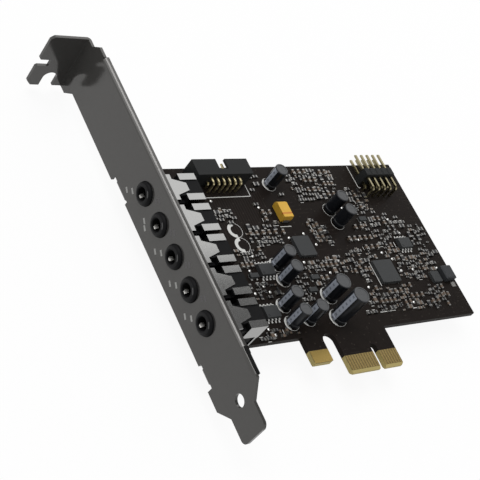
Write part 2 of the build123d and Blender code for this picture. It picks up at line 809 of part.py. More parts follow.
# Areas that the larger parts take on the board: middle x, y and size
taken = [(x, y, 2 * size[0], 2 * size[0]) for size, x, y in cans.values()]
taken += [(x, y, so_body[0], so_span) for x, y in so_chips.values()]
taken += [(at[0], at[1], size[0], size[1]) for at, size in leadless_chips.values()]
taken += [(x, y, small_body[0], small_body[1] + 2 * small_lead_out) for x, y in small_chips]
taken += [
    (tantalum_at[0], tantalum_at[1], tantalum_size[0], tantalum_size[1]),
    (choke_at[0], choke_at[1], choke_size[0], choke_size[1]),
]


def free_places(rows, size, pitch):
    """Evenly spaced places along each row that stay clear of all parts placed before."""
    places = []
    for first_x, first_y, last_x, last_y in rows:
        run_x = last_x - first_x
        run_y = last_y - first_y
        steps = round(max(run_x / pitch[0], run_y / pitch[1]))
        for k in range(steps + 1):
            x = first_x + run_x * k / max(steps, 1)
            y = first_y + run_y * k / max(steps, 1)
            clear = all(
                abs(x - part_x) > (width + size[0]) / 2 + chip_keep
                or abs(y - part_y) > (depth + size[1]) / 2 + chip_keep
                for part_x, part_y, width, depth in taken
            )
            if clear:
                places.append((x, y))
                taken.append((x, y, size[0], size[1]))
    return places


# Rows of chip parts that lie along X and along Y: x and y of the first and last one
rows_along_x = [
    (-37.2, 13.5, -35.0, 13.5),
    (-31.6, 15.7, -31.6, 15.7),
    (-29.7, 29.9, -27.4, 29.9),
    (-27.7, 25.8, -27.7, 25.8),
    (-29.6, 40.0, -27.3, 40.0),
    (-23.4, 38.3, -23.4, 38.3),
    (-28.6, 50.6, -28.6, 54.4),
    (-21.8, 43.3, -16.2, 43.3),
    (-16.4, 56.3, -16.4, 56.3),
    (-15.1, 61.4, -15.1, 61.4),
    (-12.2, 49.6, -12.2, 49.6),
    (-4.8, 59.4, -4.8, 59.4),
    (-10.8, 33.7, -5.4, 33.7),
    (-15.2, 27.8, -15.2, 31.1),
    (-16.0, 23.6, -13.4, 23.6),
    (1.3, 49.6, 1.3, 49.6),
    (5.0, 41.6, 5.0, 47.0),
    (2.0, 57.2, 6.4, 57.2),
    (2.6, 61.2, 2.6, 64.8),
    (12.5, 66.0, 12.5, 66.0),
    (5.0, 17.2, 7.4, 17.2),
    (8.0, 20.1, 8.0, 20.1),
    (11.6, 27.3, 11.6, 30.9),
    (11.4, 37.9, 14.0, 37.9),
    (17.7, 35.5, 17.7, 35.5),
    (23.1, 60.4, 23.1, 60.4),
    (23.4, 50.1, 23.4, 50.1),
    (25.6, 44.4, 25.6, 48.2),
    (24.6, 39.7, 24.6, 39.7),
    (29.6, 41.9, 29.6, 44.0),
    (34.4, 47.1, 39.0, 47.1),
    (33.4, 26.9, 33.4, 30.6),
    (40.3, 31.3, 42.6, 31.3),
    (35.3, 22.2, 35.3, 22.2),
]
rows_along_y = [
    (-30.2, 15.1, -28.1, 15.1),
    (-32.2, 36.3, -29.0, 36.3),
    (-23.8, 41.0, -23.8, 41.0),
    (-23.9, 46.4, -14.7, 46.4),
    (-11.7, 46.3, -11.7, 46.3),
    (-15.6, 51.0, -15.6, 53.3),
    (-13.1, 53.2, -13.1, 53.2),
    (-6.3, 29.9, -4.2, 29.9),
    (-3.8, 34.0, 1.8, 34.0),
    (2.3, 43.6, 2.3, 48.0),
    (4.2, 67.4, 8.6, 67.4),
    (15.0, 67.0, 17.1, 67.0),
    (7.0, 64.2, 11.2, 64.2),
    (14.4, 62.6, 17.6, 62.6),
    (6.6, 60.6, 10.8, 60.6),
    (14.0, 58.8, 18.2, 58.8),
    (24.6, 53.4, 24.6, 57.8),
    (17.6, 46.2, 20.1, 46.2),
    (12.5, 42.2, 21.4, 42.2),
    (17.5, 38.8, 22.3, 38.8),
    (30.8, 47.2, 30.8, 47.2),
    (25.9, 36.6, 25.9, 36.6),
    (28.0, 34.2, 28.0, 34.2),
    (11.9, 34.0, 11.9, 34.0),
    (12.4, 24.6, 12.4, 24.6),
    (17.3, 23.0, 21.9, 23.0),
    (11.9, 20.2, 17.4, 20.2),
    (25.3, 20.8, 29.7, 20.8),
    (26.7, 24.4, 26.7, 24.4),
    (36.6, 29.6, 36.6, 29.6),
    (38.2, 19.8, 40.8, 19.8),
    (39.9, 22.7, 39.9, 22.7),
    (32.8, 18.2, 35.2, 18.2),
]
chip_places_x = free_places(rows_along_x, (chip_long, chip_short), (chip_end_pitch, chip_side_pitch))
chip_places_y = free_places(rows_along_y, (chip_short, chip_long), (chip_side_pitch, chip_end_pitch))

with BuildPart() as chip_resistors:
    with BuildSketch():
        with Locations(*chip_places_x):
            Rectangle(chip_long, chip_short)
    extrude(amount=chip_height)
chip_resistors.part.label = "chip_resistors"
export_step(chip_resistors.part, "parts/chip_resistors.step")

with BuildPart() as chip_capacitors:
    with BuildSketch():
        with Locations(*chip_places_y):
            Rectangle(chip_short, chip_long)
    extrude(amount=chip_short)
chip_capacitors.part.label = "chip_capacitors"
export_step(chip_capacitors.part, "parts/chip_capacitors.step")
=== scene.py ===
"""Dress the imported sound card: finishes, print, solder, small parts and the studio round it."""

import json
import logging
import math
import random
from collections.abc import Callable, Iterator
from dataclasses import dataclass
from enum import Enum
from functools import cache

import bmesh
import bpy
from mathutils import Matrix, Vector

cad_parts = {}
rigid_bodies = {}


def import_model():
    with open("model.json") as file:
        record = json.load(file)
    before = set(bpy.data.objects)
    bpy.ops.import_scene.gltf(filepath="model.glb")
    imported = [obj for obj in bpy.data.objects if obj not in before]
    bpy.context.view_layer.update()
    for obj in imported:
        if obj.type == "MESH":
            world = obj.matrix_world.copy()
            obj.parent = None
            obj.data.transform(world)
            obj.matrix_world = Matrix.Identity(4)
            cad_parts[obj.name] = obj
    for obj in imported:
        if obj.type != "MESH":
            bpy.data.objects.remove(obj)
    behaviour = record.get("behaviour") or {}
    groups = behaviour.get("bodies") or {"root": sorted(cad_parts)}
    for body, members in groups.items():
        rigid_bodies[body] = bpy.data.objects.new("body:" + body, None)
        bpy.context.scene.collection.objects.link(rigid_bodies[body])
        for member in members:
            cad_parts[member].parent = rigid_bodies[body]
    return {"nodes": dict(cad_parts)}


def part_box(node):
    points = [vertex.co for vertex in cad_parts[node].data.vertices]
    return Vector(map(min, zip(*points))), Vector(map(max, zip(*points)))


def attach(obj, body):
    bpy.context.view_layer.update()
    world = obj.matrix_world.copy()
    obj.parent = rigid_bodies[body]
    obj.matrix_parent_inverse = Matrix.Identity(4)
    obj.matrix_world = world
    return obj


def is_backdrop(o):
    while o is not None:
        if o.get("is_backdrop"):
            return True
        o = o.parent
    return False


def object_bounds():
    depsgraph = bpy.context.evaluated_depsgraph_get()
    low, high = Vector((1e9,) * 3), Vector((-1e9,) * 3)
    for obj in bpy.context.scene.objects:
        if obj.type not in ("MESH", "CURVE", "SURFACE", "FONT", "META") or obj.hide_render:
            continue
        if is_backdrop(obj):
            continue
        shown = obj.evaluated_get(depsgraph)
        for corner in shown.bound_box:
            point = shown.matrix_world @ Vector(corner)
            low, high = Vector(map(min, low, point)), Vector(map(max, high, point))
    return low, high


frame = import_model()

LOG = logging.getLogger("sound_card")
MM = 0.001
NEAR = 0.01
WELD = 0.001
BODY = "root"
MIX_FIRST, MIX_SECOND, MIX_RESULT = 6, 7, 2

Pair = tuple[float, float]
Triple = tuple[float, float, float]
Box = tuple[float, float, float, float]
Colour = tuple[float, float, float]
Socket = bpy.types.NodeSocket
Value = Socket | float
Shade = Socket | Colour


class Grain(Enum):
    """The fine structure of a finish: its octaves, and its scale along X."""

    MOULDED = (4.0, 1.0)
    BRUSHED = (4.0, 0.15)
    PLATED = (2.0, 1.0)


class Facing(Enum):
    """The way that a can's stripe faces along X."""

    BRACKET = -1.0
    FAR_END = 1.0


def feed(tree: bpy.types.NodeTree, target: Socket, value: Value | Colour) -> None:
    """Link a socket, or set a plain number or colour on it.

    Args:
        tree: the node tree that holds the socket.
        target: the input to feed.
        value: another node's output, a number or a colour.
    """
    if isinstance(value, bpy.types.NodeSocket):
        tree.links.new(value, target)
    elif isinstance(value, tuple) and len(target.default_value) == 4:
        target.default_value = (*value, 1.0)
    else:
        target.default_value = value


def calc(tree: bpy.types.NodeTree, operation: str, first: Value, second: Value = 0.0) -> Socket:
    """Add a Math node.

    Args:
        tree: the node tree of a material or of the world.
        operation: the node's operation.
        first: its first value.
        second: its second value.

    Returns:
        The node's output.
    """
    node = tree.nodes.new("ShaderNodeMath")
    node.operation = operation
    feed(tree, node.inputs[0], first)
    feed(tree, node.inputs[1], second)
    return node.outputs[0]


class Paint:
    """Node layout of one material, on Object coordinates in millimetres."""

    def __init__(self, name: str) -> None:
        """Start an empty principled material.

        Args:
            name: the material's name.
        """
        self.material = bpy.data.materials.new(name)
        self.material.use_nodes = True
        self.tree = self.material.node_tree
        self.shader = self.tree.nodes["Principled BSDF"]
        coordinates = self.tree.nodes.new("ShaderNodeTexCoord")
        mapping = self.tree.nodes.new("ShaderNodeMapping")
        mapping.inputs["Scale"].default_value = (1 / MM,) * 3
        self.tree.links.new(coordinates.outputs["Object"], mapping.inputs["Vector"])
        self.place: Socket = mapping.outputs["Vector"]

    def feed(self, target: Socket, value: Value | Colour) -> None:
        """Link a socket of the material, or set a plain number or colour on it."""
        feed(self.tree, target, value)

    def calc(self, operation: str, first: Value, second: Value = 0.0) -> Socket:
        """Return the output of a new Math node."""
        return calc(self.tree, operation, first, second)

    def axes(self) -> tuple[Socket, Socket, Socket]:
        """Split the place on the surface.

        Returns:
            The x, y and z coordinates in millimetres.
        """
        node = self.tree.nodes.new("ShaderNodeSeparateXYZ")
        self.tree.links.new(self.place, node.inputs[0])
        return node.outputs[0], node.outputs[1], node.outputs[2]

    def away(self, first: Socket, second: Socket, centre: Pair) -> tuple[Socket, Socket]:
        """Return two coordinates as measured from a centre."""
        return self.calc("SUBTRACT", first, centre[0]), self.calc("SUBTRACT", second, centre[1])

    def reach(self, first: Socket, second: Socket) -> Socket:
        """Return the distance that two offsets at right angles make."""
        squares = (self.calc("MULTIPLY", offset, offset) for offset in (first, second))
        return self.calc("SQRT", self.calc("ADD", *squares))

    def over(self, value: Socket, limit: float) -> Socket:
        """Return 1 where a value lies above a limit, and 0 elsewhere."""
        return self.calc("GREATER_THAN", value, limit)

    def under(self, value: Socket, limit: float) -> Socket:
        """Return 1 where a value lies below a limit, and 0 elsewhere."""
        return self.calc("LESS_THAN", value, limit)

    def between(self, value: Socket, low: float, high: float) -> Socket:
        """Return 1 where a value lies between two limits, and 0 elsewhere."""
        return self.calc("MULTIPLY", self.over(value, low), self.under(value, high))

    def overlap(self, *masks: Socket) -> Socket:
        """Multiply masks.

        Args:
            masks: two masks or more.

        Returns:
            The mask that is 1 where all of them are 1.
        """
        result = masks[0]
        for mask in masks[1:]:
            result = self.calc("MULTIPLY", result, mask)
        return result

    def lanes(self, value: Socket, pitch: float, share: Pair) -> Socket:
        """Cut a value into evenly spaced stripes.

        Args:
            value: the value that the stripes cut.
            pitch: the distance between two stripes.
            share: the part of each pitch that a stripe takes.

        Returns:
            The mask.
        """
        return self.between(self.calc("FRACT", self.calc("DIVIDE", value, pitch)), *share)

    def noise(self, scale: float, octaves: float, stretch: Triple = (1.0, 1.0, 1.0)) -> Socket:
        """Add a noise pattern.

        Args:
            scale: cells per millimetre.
            octaves: octaves of the noise.
            stretch: scale of the pattern along each axis.

        Returns:
            The noise factor.
        """
        mapping = self.tree.nodes.new("ShaderNodeMapping")
        mapping.inputs["Scale"].default_value = stretch
        self.tree.links.new(self.place, mapping.inputs["Vector"])
        node = self.tree.nodes.new("ShaderNodeTexNoise")
        node.inputs["Scale"].default_value = scale
        node.inputs["Detail"].default_value = octaves
        self.tree.links.new(mapping.outputs["Vector"], node.inputs["Vector"])
        return node.outputs["Fac"]

    def cells(self, scale: float) -> Socket:
        """Measure the distance to the nearest of many scattered points.

        Args:
            scale: points per millimetre.

        Returns:
            The distance, in cells.
        """
        node = self.tree.nodes.new("ShaderNodeTexVoronoi")
        node.voronoi_dimensions = "2D"
        node.inputs["Scale"].default_value = scale
        self.tree.links.new(self.place, node.inputs["Vector"])
        return node.outputs["Distance"]

    def mix(self, mask: Socket, first: Shade, second: Shade) -> Socket:
        """Blend two colours.

        Args:
            mask: 0 gives the first colour, 1 the second.
            first: a colour.
            second: another colour.

        Returns:
            The blended colour.
        """
        node = self.tree.nodes.new("ShaderNodeMix")
        node.data_type = "RGBA"
        self.feed(node.inputs["Factor"], mask)
        self.feed(node.inputs[MIX_FIRST], first)
        self.feed(node.inputs[MIX_SECOND], second)
        return node.outputs[MIX_RESULT]

    def layers(self, ground: Socket, *coats: tuple[Socket, Shade]) -> Socket:
        """Lay colours over a ground, one after another.

        Args:
            ground: the colour below them.
            coats: for each coat, the mask that says where it lies, and its colour.

        Returns:
            The colour that shows.
        """
        for mask, colour in coats:
            ground = self.mix(mask, ground, colour)
        return ground

    def spread(self, value: Socket, low: float, high: float) -> Socket:
        """Return a 0 to 1 factor mapped onto a range."""
        return self.calc("ADD", self.calc("MULTIPLY", value, high - low), low)

    def bump(self, height: Socket, depth: float) -> None:
        """Raise the surface by a height value.

        Args:
            height: the height factor.
            depth: the height in millimetres that a factor of 1 stands for.
        """
        node = self.tree.nodes.new("ShaderNodeBump")
        node.inputs["Distance"].default_value = depth * MM
        self.tree.links.new(height, node.inputs["Height"])
        self.tree.links.new(node.outputs["Normal"], self.shader.inputs["Normal"])

    def surface(self, colour: Shade, roughness: Value, metallic: Value, specular: Value) -> bpy.types.Material:
        """Feed the shader.

        Args:
            colour: the base colour.
            roughness: the roughness.
            metallic: the share of metal.
            specular: the level of the reflection of a surface that is no metal.

        Returns:
            The finished material.
        """
        self.feed(self.shader.inputs["Base Color"], colour)
        self.feed(self.shader.inputs["Roughness"], roughness)
        self.feed(self.shader.inputs["Metallic"], metallic)
        self.feed(self.shader.inputs["Specular IOR Level"], specular)
        return self.material


@dataclass(frozen=True)
class Finish:
    """One even finish with its fine grain."""

    name: str
    colour: Colour
    shade: Colour
    roughness: float
    metallic: float = 0.0
    specular: float = 0.5
    grain: Grain = Grain.MOULDED
    scale: float = 6.0
    relief: float = 0.004
    sway: float = 0.06

    def make(self) -> bpy.types.Material:
        """Lay out the finish.

        Returns:
            The material.
        """
        paint = Paint(self.name)
        octaves, along = self.grain.value
        cloud = paint.noise(self.scale, octaves, (along, 1.0, 1.0))
        paint.bump(cloud, self.relief)
        roughness = paint.spread(cloud, self.roughness - self.sway, self.roughness + self.sway)
        colour = paint.mix(cloud, self.shade, self.colour)
        return paint.surface(colour, roughness, self.metallic, self.specular)


HEADER_PLASTIC = Finish("header plastic", (0.027, 0.028, 0.028), (0.020, 0.021, 0.021), 0.55, 0.0, 0.08)
GOLD_PLATE = Finish(
    "gold plate", (0.43, 0.318, 0.125), (0.345, 0.248, 0.088), 0.36, 1.0, 0.5, Grain.PLATED, 3.0
)
HOOK_GOLD = Finish("hook gold", (0.58, 0.415, 0.135), (0.47, 0.325, 0.095), 0.36, 1.0, 0.5, Grain.PLATED, 3.0)
PIN_GOLD = Finish("pin gold", (0.32, 0.285, 0.18), (0.22, 0.195, 0.11), 0.28, 1.0, 0.5, Grain.BRUSHED, 5.0)
BOXED_GOLD = Finish("boxed gold", (0.60, 0.53, 0.32), (0.44, 0.38, 0.21), 0.28, 0.92, 0.5, Grain.BRUSHED, 5.0)
TIN_PLATE = Finish(
    "tin plate", (0.30, 0.30, 0.295), (0.26, 0.26, 0.255), 0.13, 1.0, 0.5, Grain.BRUSHED, 7.0, 0.001
)
SCREW_STEEL = Finish("screw steel", (0.36, 0.35, 0.33), (0.28, 0.27, 0.26), 0.34, 1.0, 0.5, Grain.PLATED, 5.0)
SOLDER = Finish("solder", (0.34, 0.335, 0.32), (0.20, 0.195, 0.185), 0.32, 1.0, 0.5, Grain.PLATED, 9.0)
TEST_POINT = Finish("test point", (0.80, 0.80, 0.78), (0.64, 0.64, 0.62), 0.30, 1.0, 0.5, Grain.PLATED, 9.0)
SILK_INK = Finish("silk ink", (0.72, 0.72, 0.70), (0.55, 0.55, 0.53), 0.7, 0.0, 0.2, Grain.MOULDED, 9.0)
FACE_INK = Finish("face ink", (0.42, 0.42, 0.41), (0.24, 0.24, 0.23), 0.7, 0.0, 0.2, Grain.MOULDED, 2.5)
# Faint dark strokes set on the bracket beside four of the sockets.
DARK_STROKES = Finish(
    "dark strokes", (0.125, 0.120, 0.122), (0.085, 0.081, 0.083), 0.7, 0.0, 0.2, Grain.MOULDED, 2.5
)
INDUCTOR_GREY = Finish("inductor grey", (0.043, 0.045, 0.048), (0.031, 0.033, 0.036), 0.5, 0.0, 0.12)
RESISTOR_GLAZE = Finish("resistor glaze", (0.030, 0.030, 0.032), (0.018, 0.018, 0.020), 0.35, 0.0, 0.2)
CERAMIC_TAN = Finish("capacitor ceramic", (0.150, 0.112, 0.085), (0.100, 0.074, 0.056), 0.45, 0.0, 0.2)
TIN_SHARE: Colour = (0.30, 0.30, 0.29)
TEST_POINTS: tuple[Pair, ...] = (
    (23.2, 36.7), (26.1, 34.2), (27.2, 29.9), (32.4, 29.9), (33.6, 48.5), (35.3, 43.2), (25.1, 18.8),
    (43.0, 29.5), (10.3, 25.5), (-1.5, 31.6), (-26.8, 27.4), (-32.1, 27.4), (-32.1, 14.4), (-33.5, 16.3),
    (-30.2, 34.6), (3.9, 35.3), (-9.3, 35.8), (-28.0, 29.4), (-26.7, 39.2), (-31.7, 58.3), (-15.7, 55.3),
    (-10.2, 44.3), (-3.9, 45.4), (-1.2, 41.4), (16.8, 53.6), (16.6, 41.9),
)


@dataclass(frozen=True)
class BracketFinish:
    """Dark soft-mirror plating; painted highlight along the long fold, painted shade at its lower end and under
    the tab.
    """

    colour: Colour = (0.068, 0.066, 0.063)
    shade: Colour = (0.061, 0.059, 0.056)
    # Colours of the painted shade in the crease, the painted highlight along the fold and the painted shade at
    # its lower end.
    crease_shade: Colour = (0.046, 0.045, 0.043)
    fold_highlight: Colour = (0.126, 0.123, 0.119)
    end_shade: Colour = (0.014, 0.014, 0.014)
    crease_x: Pair = (-58.885, -58.585)
    crease_y: Pair = (104.785, 105.075)
    fold_y: Pair = (5.2, 96.4)
    fold_z: Pair = (14.5, 15.1)
    end_y: Pair = (-2.6, 5.2)
    end_x: float = -58.05
    end_z: float = 14.6
    grain: Pair = (0.6, 3.0)
    pits: Pair = (2.0, 2.0)
    relief: float = 0.0006
    roughness: Pair = (0.10, 0.16)
    metallic: float = 0.4
    specular: float = 0.45

    def make(self) -> bpy.types.Material:
        """Lay out the bracket's plating.

        Returns:
            The material.
        """
        paint = Paint("bracket coat")
        x, y, z = paint.axes()
        cloud = paint.noise(*self.grain)
        # Painted shade: the crease under the tab is darkened and loses its reflection.
        crease_shade = paint.overlap(paint.between(x, *self.crease_x), paint.between(y, *self.crease_y))
        # Painted highlight: a pale band along the long fold.
        fold = paint.overlap(paint.between(y, *self.fold_y), paint.between(z, *self.fold_z))
        # Painted shade: the lower end of the fold is near black and loses its reflection.
        end_shade = paint.overlap(paint.between(y, *self.end_y), paint.over(z, self.end_z), paint.over(x, self.end_x))
        shade_mask = paint.calc("MAXIMUM", crease_shade, end_shade)
        colour = paint.layers(
            paint.mix(cloud, self.shade, self.colour), (fold, self.fold_highlight), (crease_shade, self.crease_shade), (end_shade, self.end_shade)
        )
        paint.bump(paint.noise(*self.pits), self.relief)
        roughness = paint.spread(cloud, *self.roughness)
        metallic = paint.spread(shade_mask, self.metallic, 0.0)
        return paint.surface(colour, roughness, metallic, paint.spread(shade_mask, self.specular, 0.0))


@dataclass(frozen=True)
class JackFinish:
    """Black moulding with a painted highlight round the socket's mouth: a paler ring, brightest in a patch on
    one side.
    """

    axis: Pair
    front_x: float
    colour: Colour = (0.0085, 0.0085, 0.009)
    shade: Colour = (0.006, 0.006, 0.0065)
    # Painted highlight colours: the paler ring round the mouth and its brightest patch.
    ring: Colour = (0.0165, 0.0165, 0.017)
    shine: Colour = (0.095, 0.095, 0.095)
    ring_reach: Pair = (2.05, 2.8)
    shine_reach: Pair = (2.5, 2.75)
    shine_from: float = 1.2
    shine_y: Pair = (-2.3, -1.0)
    grain: Pair = (6.0, 4.0)
    relief: float = 0.004
    roughness: Pair = (0.42, 0.54)
    specular: float = 0.06

    def make(self) -> bpy.types.Material:
        """Lay out the socket's moulding.

        Returns:
            The material.
        """
        paint = Paint("jack plastic")
        x, y, z = paint.axes()
        dy, dz = paint.away(y, z, self.axis)
        reach = paint.reach(dy, dz)
        nose = paint.under(x, self.front_x)
        # Painted highlight: a paler ring round the mouth, and a brighter patch of it on one side.
        ring = paint.overlap(nose, paint.between(reach, *self.ring_reach))
        shine = paint.overlap(
            nose, paint.between(reach, *self.shine_reach), paint.between(dy, *self.shine_y),
            paint.over(dz, self.shine_from),
        )
        cloud = paint.noise(*self.grain)
        ground = paint.mix(cloud, self.shade, self.colour)
        colour = paint.layers(ground, (ring, self.ring), (shine, self.shine))
        paint.bump(cloud, self.relief)
        return paint.surface(colour, paint.spread(cloud, *self.roughness), 0.0, self.specular)


@dataclass(frozen=True)
class BoardFinish:
    """Dark solder mask over faint tracks, with small vias and a bare connector edge."""

    mask: Colour = (0.0165, 0.0130, 0.0112)
    deep: Colour = (0.0095, 0.0074, 0.0066)
    track: Colour = (0.0200, 0.0160, 0.0139)
    via: Colour = (0.030, 0.025, 0.021)
    edge: Colour = (0.016, 0.013, 0.011)
    laminate: Colour = (0.150, 0.118, 0.058)
    bare_edge: Colour = (0.44, 0.36, 0.15)
    lane_pitch: float = 0.95
    lane_share: Pair = (0.3, 0.62)
    lane_box: Box = (-41.0, 45.5, -12.5, 61.0)
    far_pitch: float = 1.3
    far_share: Pair = (0.4, 0.6)
    patches: Pair = (0.12, 1.0)
    patch_from: float = 0.6
    via_cells: float = 0.3
    via_radius: float = 0.07
    thick: float = 1.57
    rim: float = 0.02
    tongue: Triple = (-12.2, 8.2, 5.35)
    hook: Triple = (-23.7, -16.6, 8.3)
    grain: Pair = (0.35, 3.0)
    relief: float = 0.012
    roughness: Pair = (0.36, 0.5)
    specular: float = 0.03

    def make(self) -> bpy.types.Material:
        """Lay out the board's mask, tracks and bare edge.

        Returns:
            The material.
        """
        paint = Paint("board mask")
        x, y, z = paint.axes()
        cloud = paint.noise(*self.grain)
        left, low, right, high = self.lane_box
        near = paint.overlap(
            paint.lanes(x, self.lane_pitch, self.lane_share), paint.between(x, left, right),
            paint.between(y, low, high),
        )
        far = paint.overlap(
            paint.lanes(y, self.far_pitch, self.far_share),
            paint.over(paint.noise(*self.patches), self.patch_from), paint.over(x, right),
        )
        tracks = paint.calc("MAXIMUM", near, far)
        dots = paint.under(paint.cells(self.via_cells), self.via_radius)
        edge = paint.between(z, self.rim - self.thick, -self.rim)
        tongue, hook = (
            paint.overlap(paint.between(x, first, last), paint.under(y, top))
            for first, last, top in (self.tongue, self.hook)
        )
        bare = paint.calc("MAXIMUM", tongue, hook)
        colour = paint.layers(
            paint.mix(cloud, self.deep, self.mask), (tracks, self.track), (dots, self.via), (edge, self.edge),
            (bare, paint.mix(edge, self.laminate, self.bare_edge)),
        )
        paint.bump(tracks, self.relief)
        return paint.surface(colour, paint.spread(cloud, *self.roughness), 0.0, self.specular)


@dataclass(frozen=True)
class CanFinish:
    """Black sleeve with its pale stripe and a bare grey top."""

    centre: Pair
    radius: float
    height: float
    facing: Facing
    sleeve: Colour = (0.012, 0.0135, 0.0165)
    sleeve_deep: Colour = (0.008, 0.009, 0.0115)
    stripe: Colour = (0.36, 0.39, 0.45)
    mark: Colour = (0.19, 0.205, 0.245)
    top: Colour = (0.100, 0.102, 0.105)
    top_deep: Colour = (0.074, 0.076, 0.079)
    top_depth: float = 0.2
    rim: float = 0.16
    score_half: float = 0.07
    stripe_share: float = 0.75
    stripe_foot: float = 0.5
    stripe_head: float = 0.35
    mark_width: float = 0.4
    mark_step: float = 1.7
    mark_share: Pair = (0.25, 0.6)
    lead_top: float = 0.24
    grain: Pair = (3.0, 3.0)
    relief: float = 0.006
    roughness: Pair = (0.3, 0.48)
    specular: float = 0.2

    def make(self) -> bpy.types.Material:
        """Lay out the can's sleeve, stripe, top and leads.

        Returns:
            The material.
        """
        paint = Paint("can sleeve")
        x, y, z = paint.axes()
        dx, dy = paint.away(x, y, self.centre)
        ahead = paint.calc("MULTIPLY", dx, self.facing.value)
        side = paint.calc("ABSOLUTE", dy)
        cloud = paint.noise(*self.grain)
        half = self.radius * self.stripe_share / 2
        stripe = paint.overlap(
            paint.over(ahead, 0.0), paint.under(side, half),
            paint.between(z, self.stripe_foot, self.height - self.stripe_head),
        )
        marks = paint.overlap(
            stripe, paint.under(side, half * self.mark_width), paint.lanes(z, self.mark_step, self.mark_share)
        )
        inside = paint.under(paint.reach(dx, dy), self.radius - self.rim)
        top = paint.overlap(paint.over(z, self.height - self.top_depth), inside)
        nearest = paint.calc("MINIMUM", side, paint.calc("ABSOLUTE", dx))
        score = paint.overlap(top, paint.under(nearest, self.score_half))
        lead = paint.under(z, self.lead_top)
        colour = paint.layers(
            paint.mix(cloud, self.sleeve_deep, self.sleeve), (stripe, self.stripe), (marks, self.mark),
            (top, paint.mix(cloud, self.top_deep, self.top)), (score, self.top_deep), (lead, TIN_SHARE),
        )
        paint.bump(paint.calc("SUBTRACT", cloud, score), self.relief)
        return paint.surface(colour, paint.spread(top, *self.roughness), lead, self.specular)


@dataclass(frozen=True)
class ChipFinish:
    """Dark moulding with a dimple at its first corner and tinned leads."""

    centre: Pair
    body: Pair
    lead_top: float = 0.0
    colour: Colour = (0.052, 0.054, 0.055)
    deep: Colour = (0.039, 0.041, 0.042)
    dimple: Colour = (0.030, 0.031, 0.032)
    lead: Colour = (0.66, 0.66, 0.64)
    lead_metal: float = 0.2
    dimple_radius: float = 0.38
    dimple_inset: float = 0.8
    grain: Pair = (7.0, 4.0)
    grain_share: float = 0.15
    relief: float = 0.03
    roughness: Pair = (0.45, 0.6)
    specular: float = 0.12

    def make(self) -> bpy.types.Material:
        """Lay out the chip's moulding and leads.

        Returns:
            The material.
        """
        paint = Paint("chip epoxy")
        x, y, z = paint.axes()
        dx, dy = paint.away(x, y, self.centre)
        cloud = paint.noise(*self.grain)
        beside = paint.over(paint.calc("ABSOLUTE", dy), self.body[1] / 2)
        leads = paint.calc("MAXIMUM", beside, paint.under(z, self.lead_top))
        corner = (self.dimple_inset - self.body[0] / 2, self.dimple_inset - self.body[1] / 2)
        dimple = paint.under(paint.reach(*paint.away(dx, dy, corner)), self.dimple_radius)
        ground = paint.mix(cloud, self.deep, self.colour)
        colour = paint.layers(ground, (dimple, self.dimple), (leads, self.lead))
        paint.bump(paint.calc("SUBTRACT", paint.calc("MULTIPLY", cloud, self.grain_share), dimple), self.relief)
        metallic = paint.calc("MULTIPLY", leads, self.lead_metal)
        return paint.surface(colour, paint.spread(cloud, *self.roughness), metallic, self.specular)


@dataclass(frozen=True)
class TantalumFinish:
    """Yellow moulding with orange specks, an orange bar at one end and tinned terminals."""

    centre: Pair
    length: float
    yellow: Colour = (0.70, 0.42, 0.045)
    deep: Colour = (0.56, 0.31, 0.03)
    bar: Colour = (0.50, 0.18, 0.02)
    bar_share: Pair = (0.58, 0.40)
    bar_from: float = 2.0
    foot: float = 0.13
    terminal: Pair = (1.12, 1.08)
    terminal_depth: float = 0.1
    grain: Pair = (1.6, 4.0)
    relief: float = 0.02
    roughness: Pair = (0.42, 0.58)
    specular: float = 0.4

    def make(self) -> bpy.types.Material:
        """Lay out the moulded capacitor's body, bar and terminals.

        Returns:
            The material.
        """
        paint = Paint("moulded yellow")
        x, y, z = paint.axes()
        dx, dy = paint.away(x, y, self.centre)
        cloud = paint.noise(*self.grain)
        half = self.length / 2
        bar = paint.overlap(
            paint.between(dy, *(-half * share for share in self.bar_share)), paint.over(z, self.bar_from)
        )
        ends = paint.overlap(
            paint.over(paint.calc("ABSOLUTE", dy), half - self.terminal_depth),
            paint.under(paint.calc("ABSOLUTE", dx), self.terminal[0]), paint.under(z, self.terminal[1]),
        )
        tin = paint.calc("MAXIMUM", ends, paint.under(z, self.foot))
        colour = paint.layers(paint.mix(cloud, self.deep, self.yellow), (bar, self.bar), (tin, TIN_SHARE))
        paint.bump(cloud, self.relief)
        return paint.surface(colour, paint.spread(cloud, *self.roughness), tin, self.specular)


def clear_choice() -> None:
    """Leave no object selected."""
    bpy.ops.object.select_all(action="DESELECT")


def middle_of(node: str) -> Pair:
    """Return the middle of a node's outline on the board, in millimetres."""
    low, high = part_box(node)
    return (low.x + high.x) / 2 / MM, (low.y + high.y) / 2 / MM


def span_of(node: str) -> Pair:
    """Return a node's lengths along X and Y, in millimetres."""
    low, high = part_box(node)
    return (high.x - low.x) / MM, (high.y - low.y) / MM


def shift(x: float, y: float, z: float = 0.0) -> Matrix:
    """Return the matrix of a move in millimetres."""
    return Matrix.Translation(Vector((x, y, z)) * MM)


def turned(degrees: float, axis: str = "Z") -> Matrix:
    """Return the matrix of a turn."""
    return Matrix.Rotation(math.radians(degrees), 4, axis)


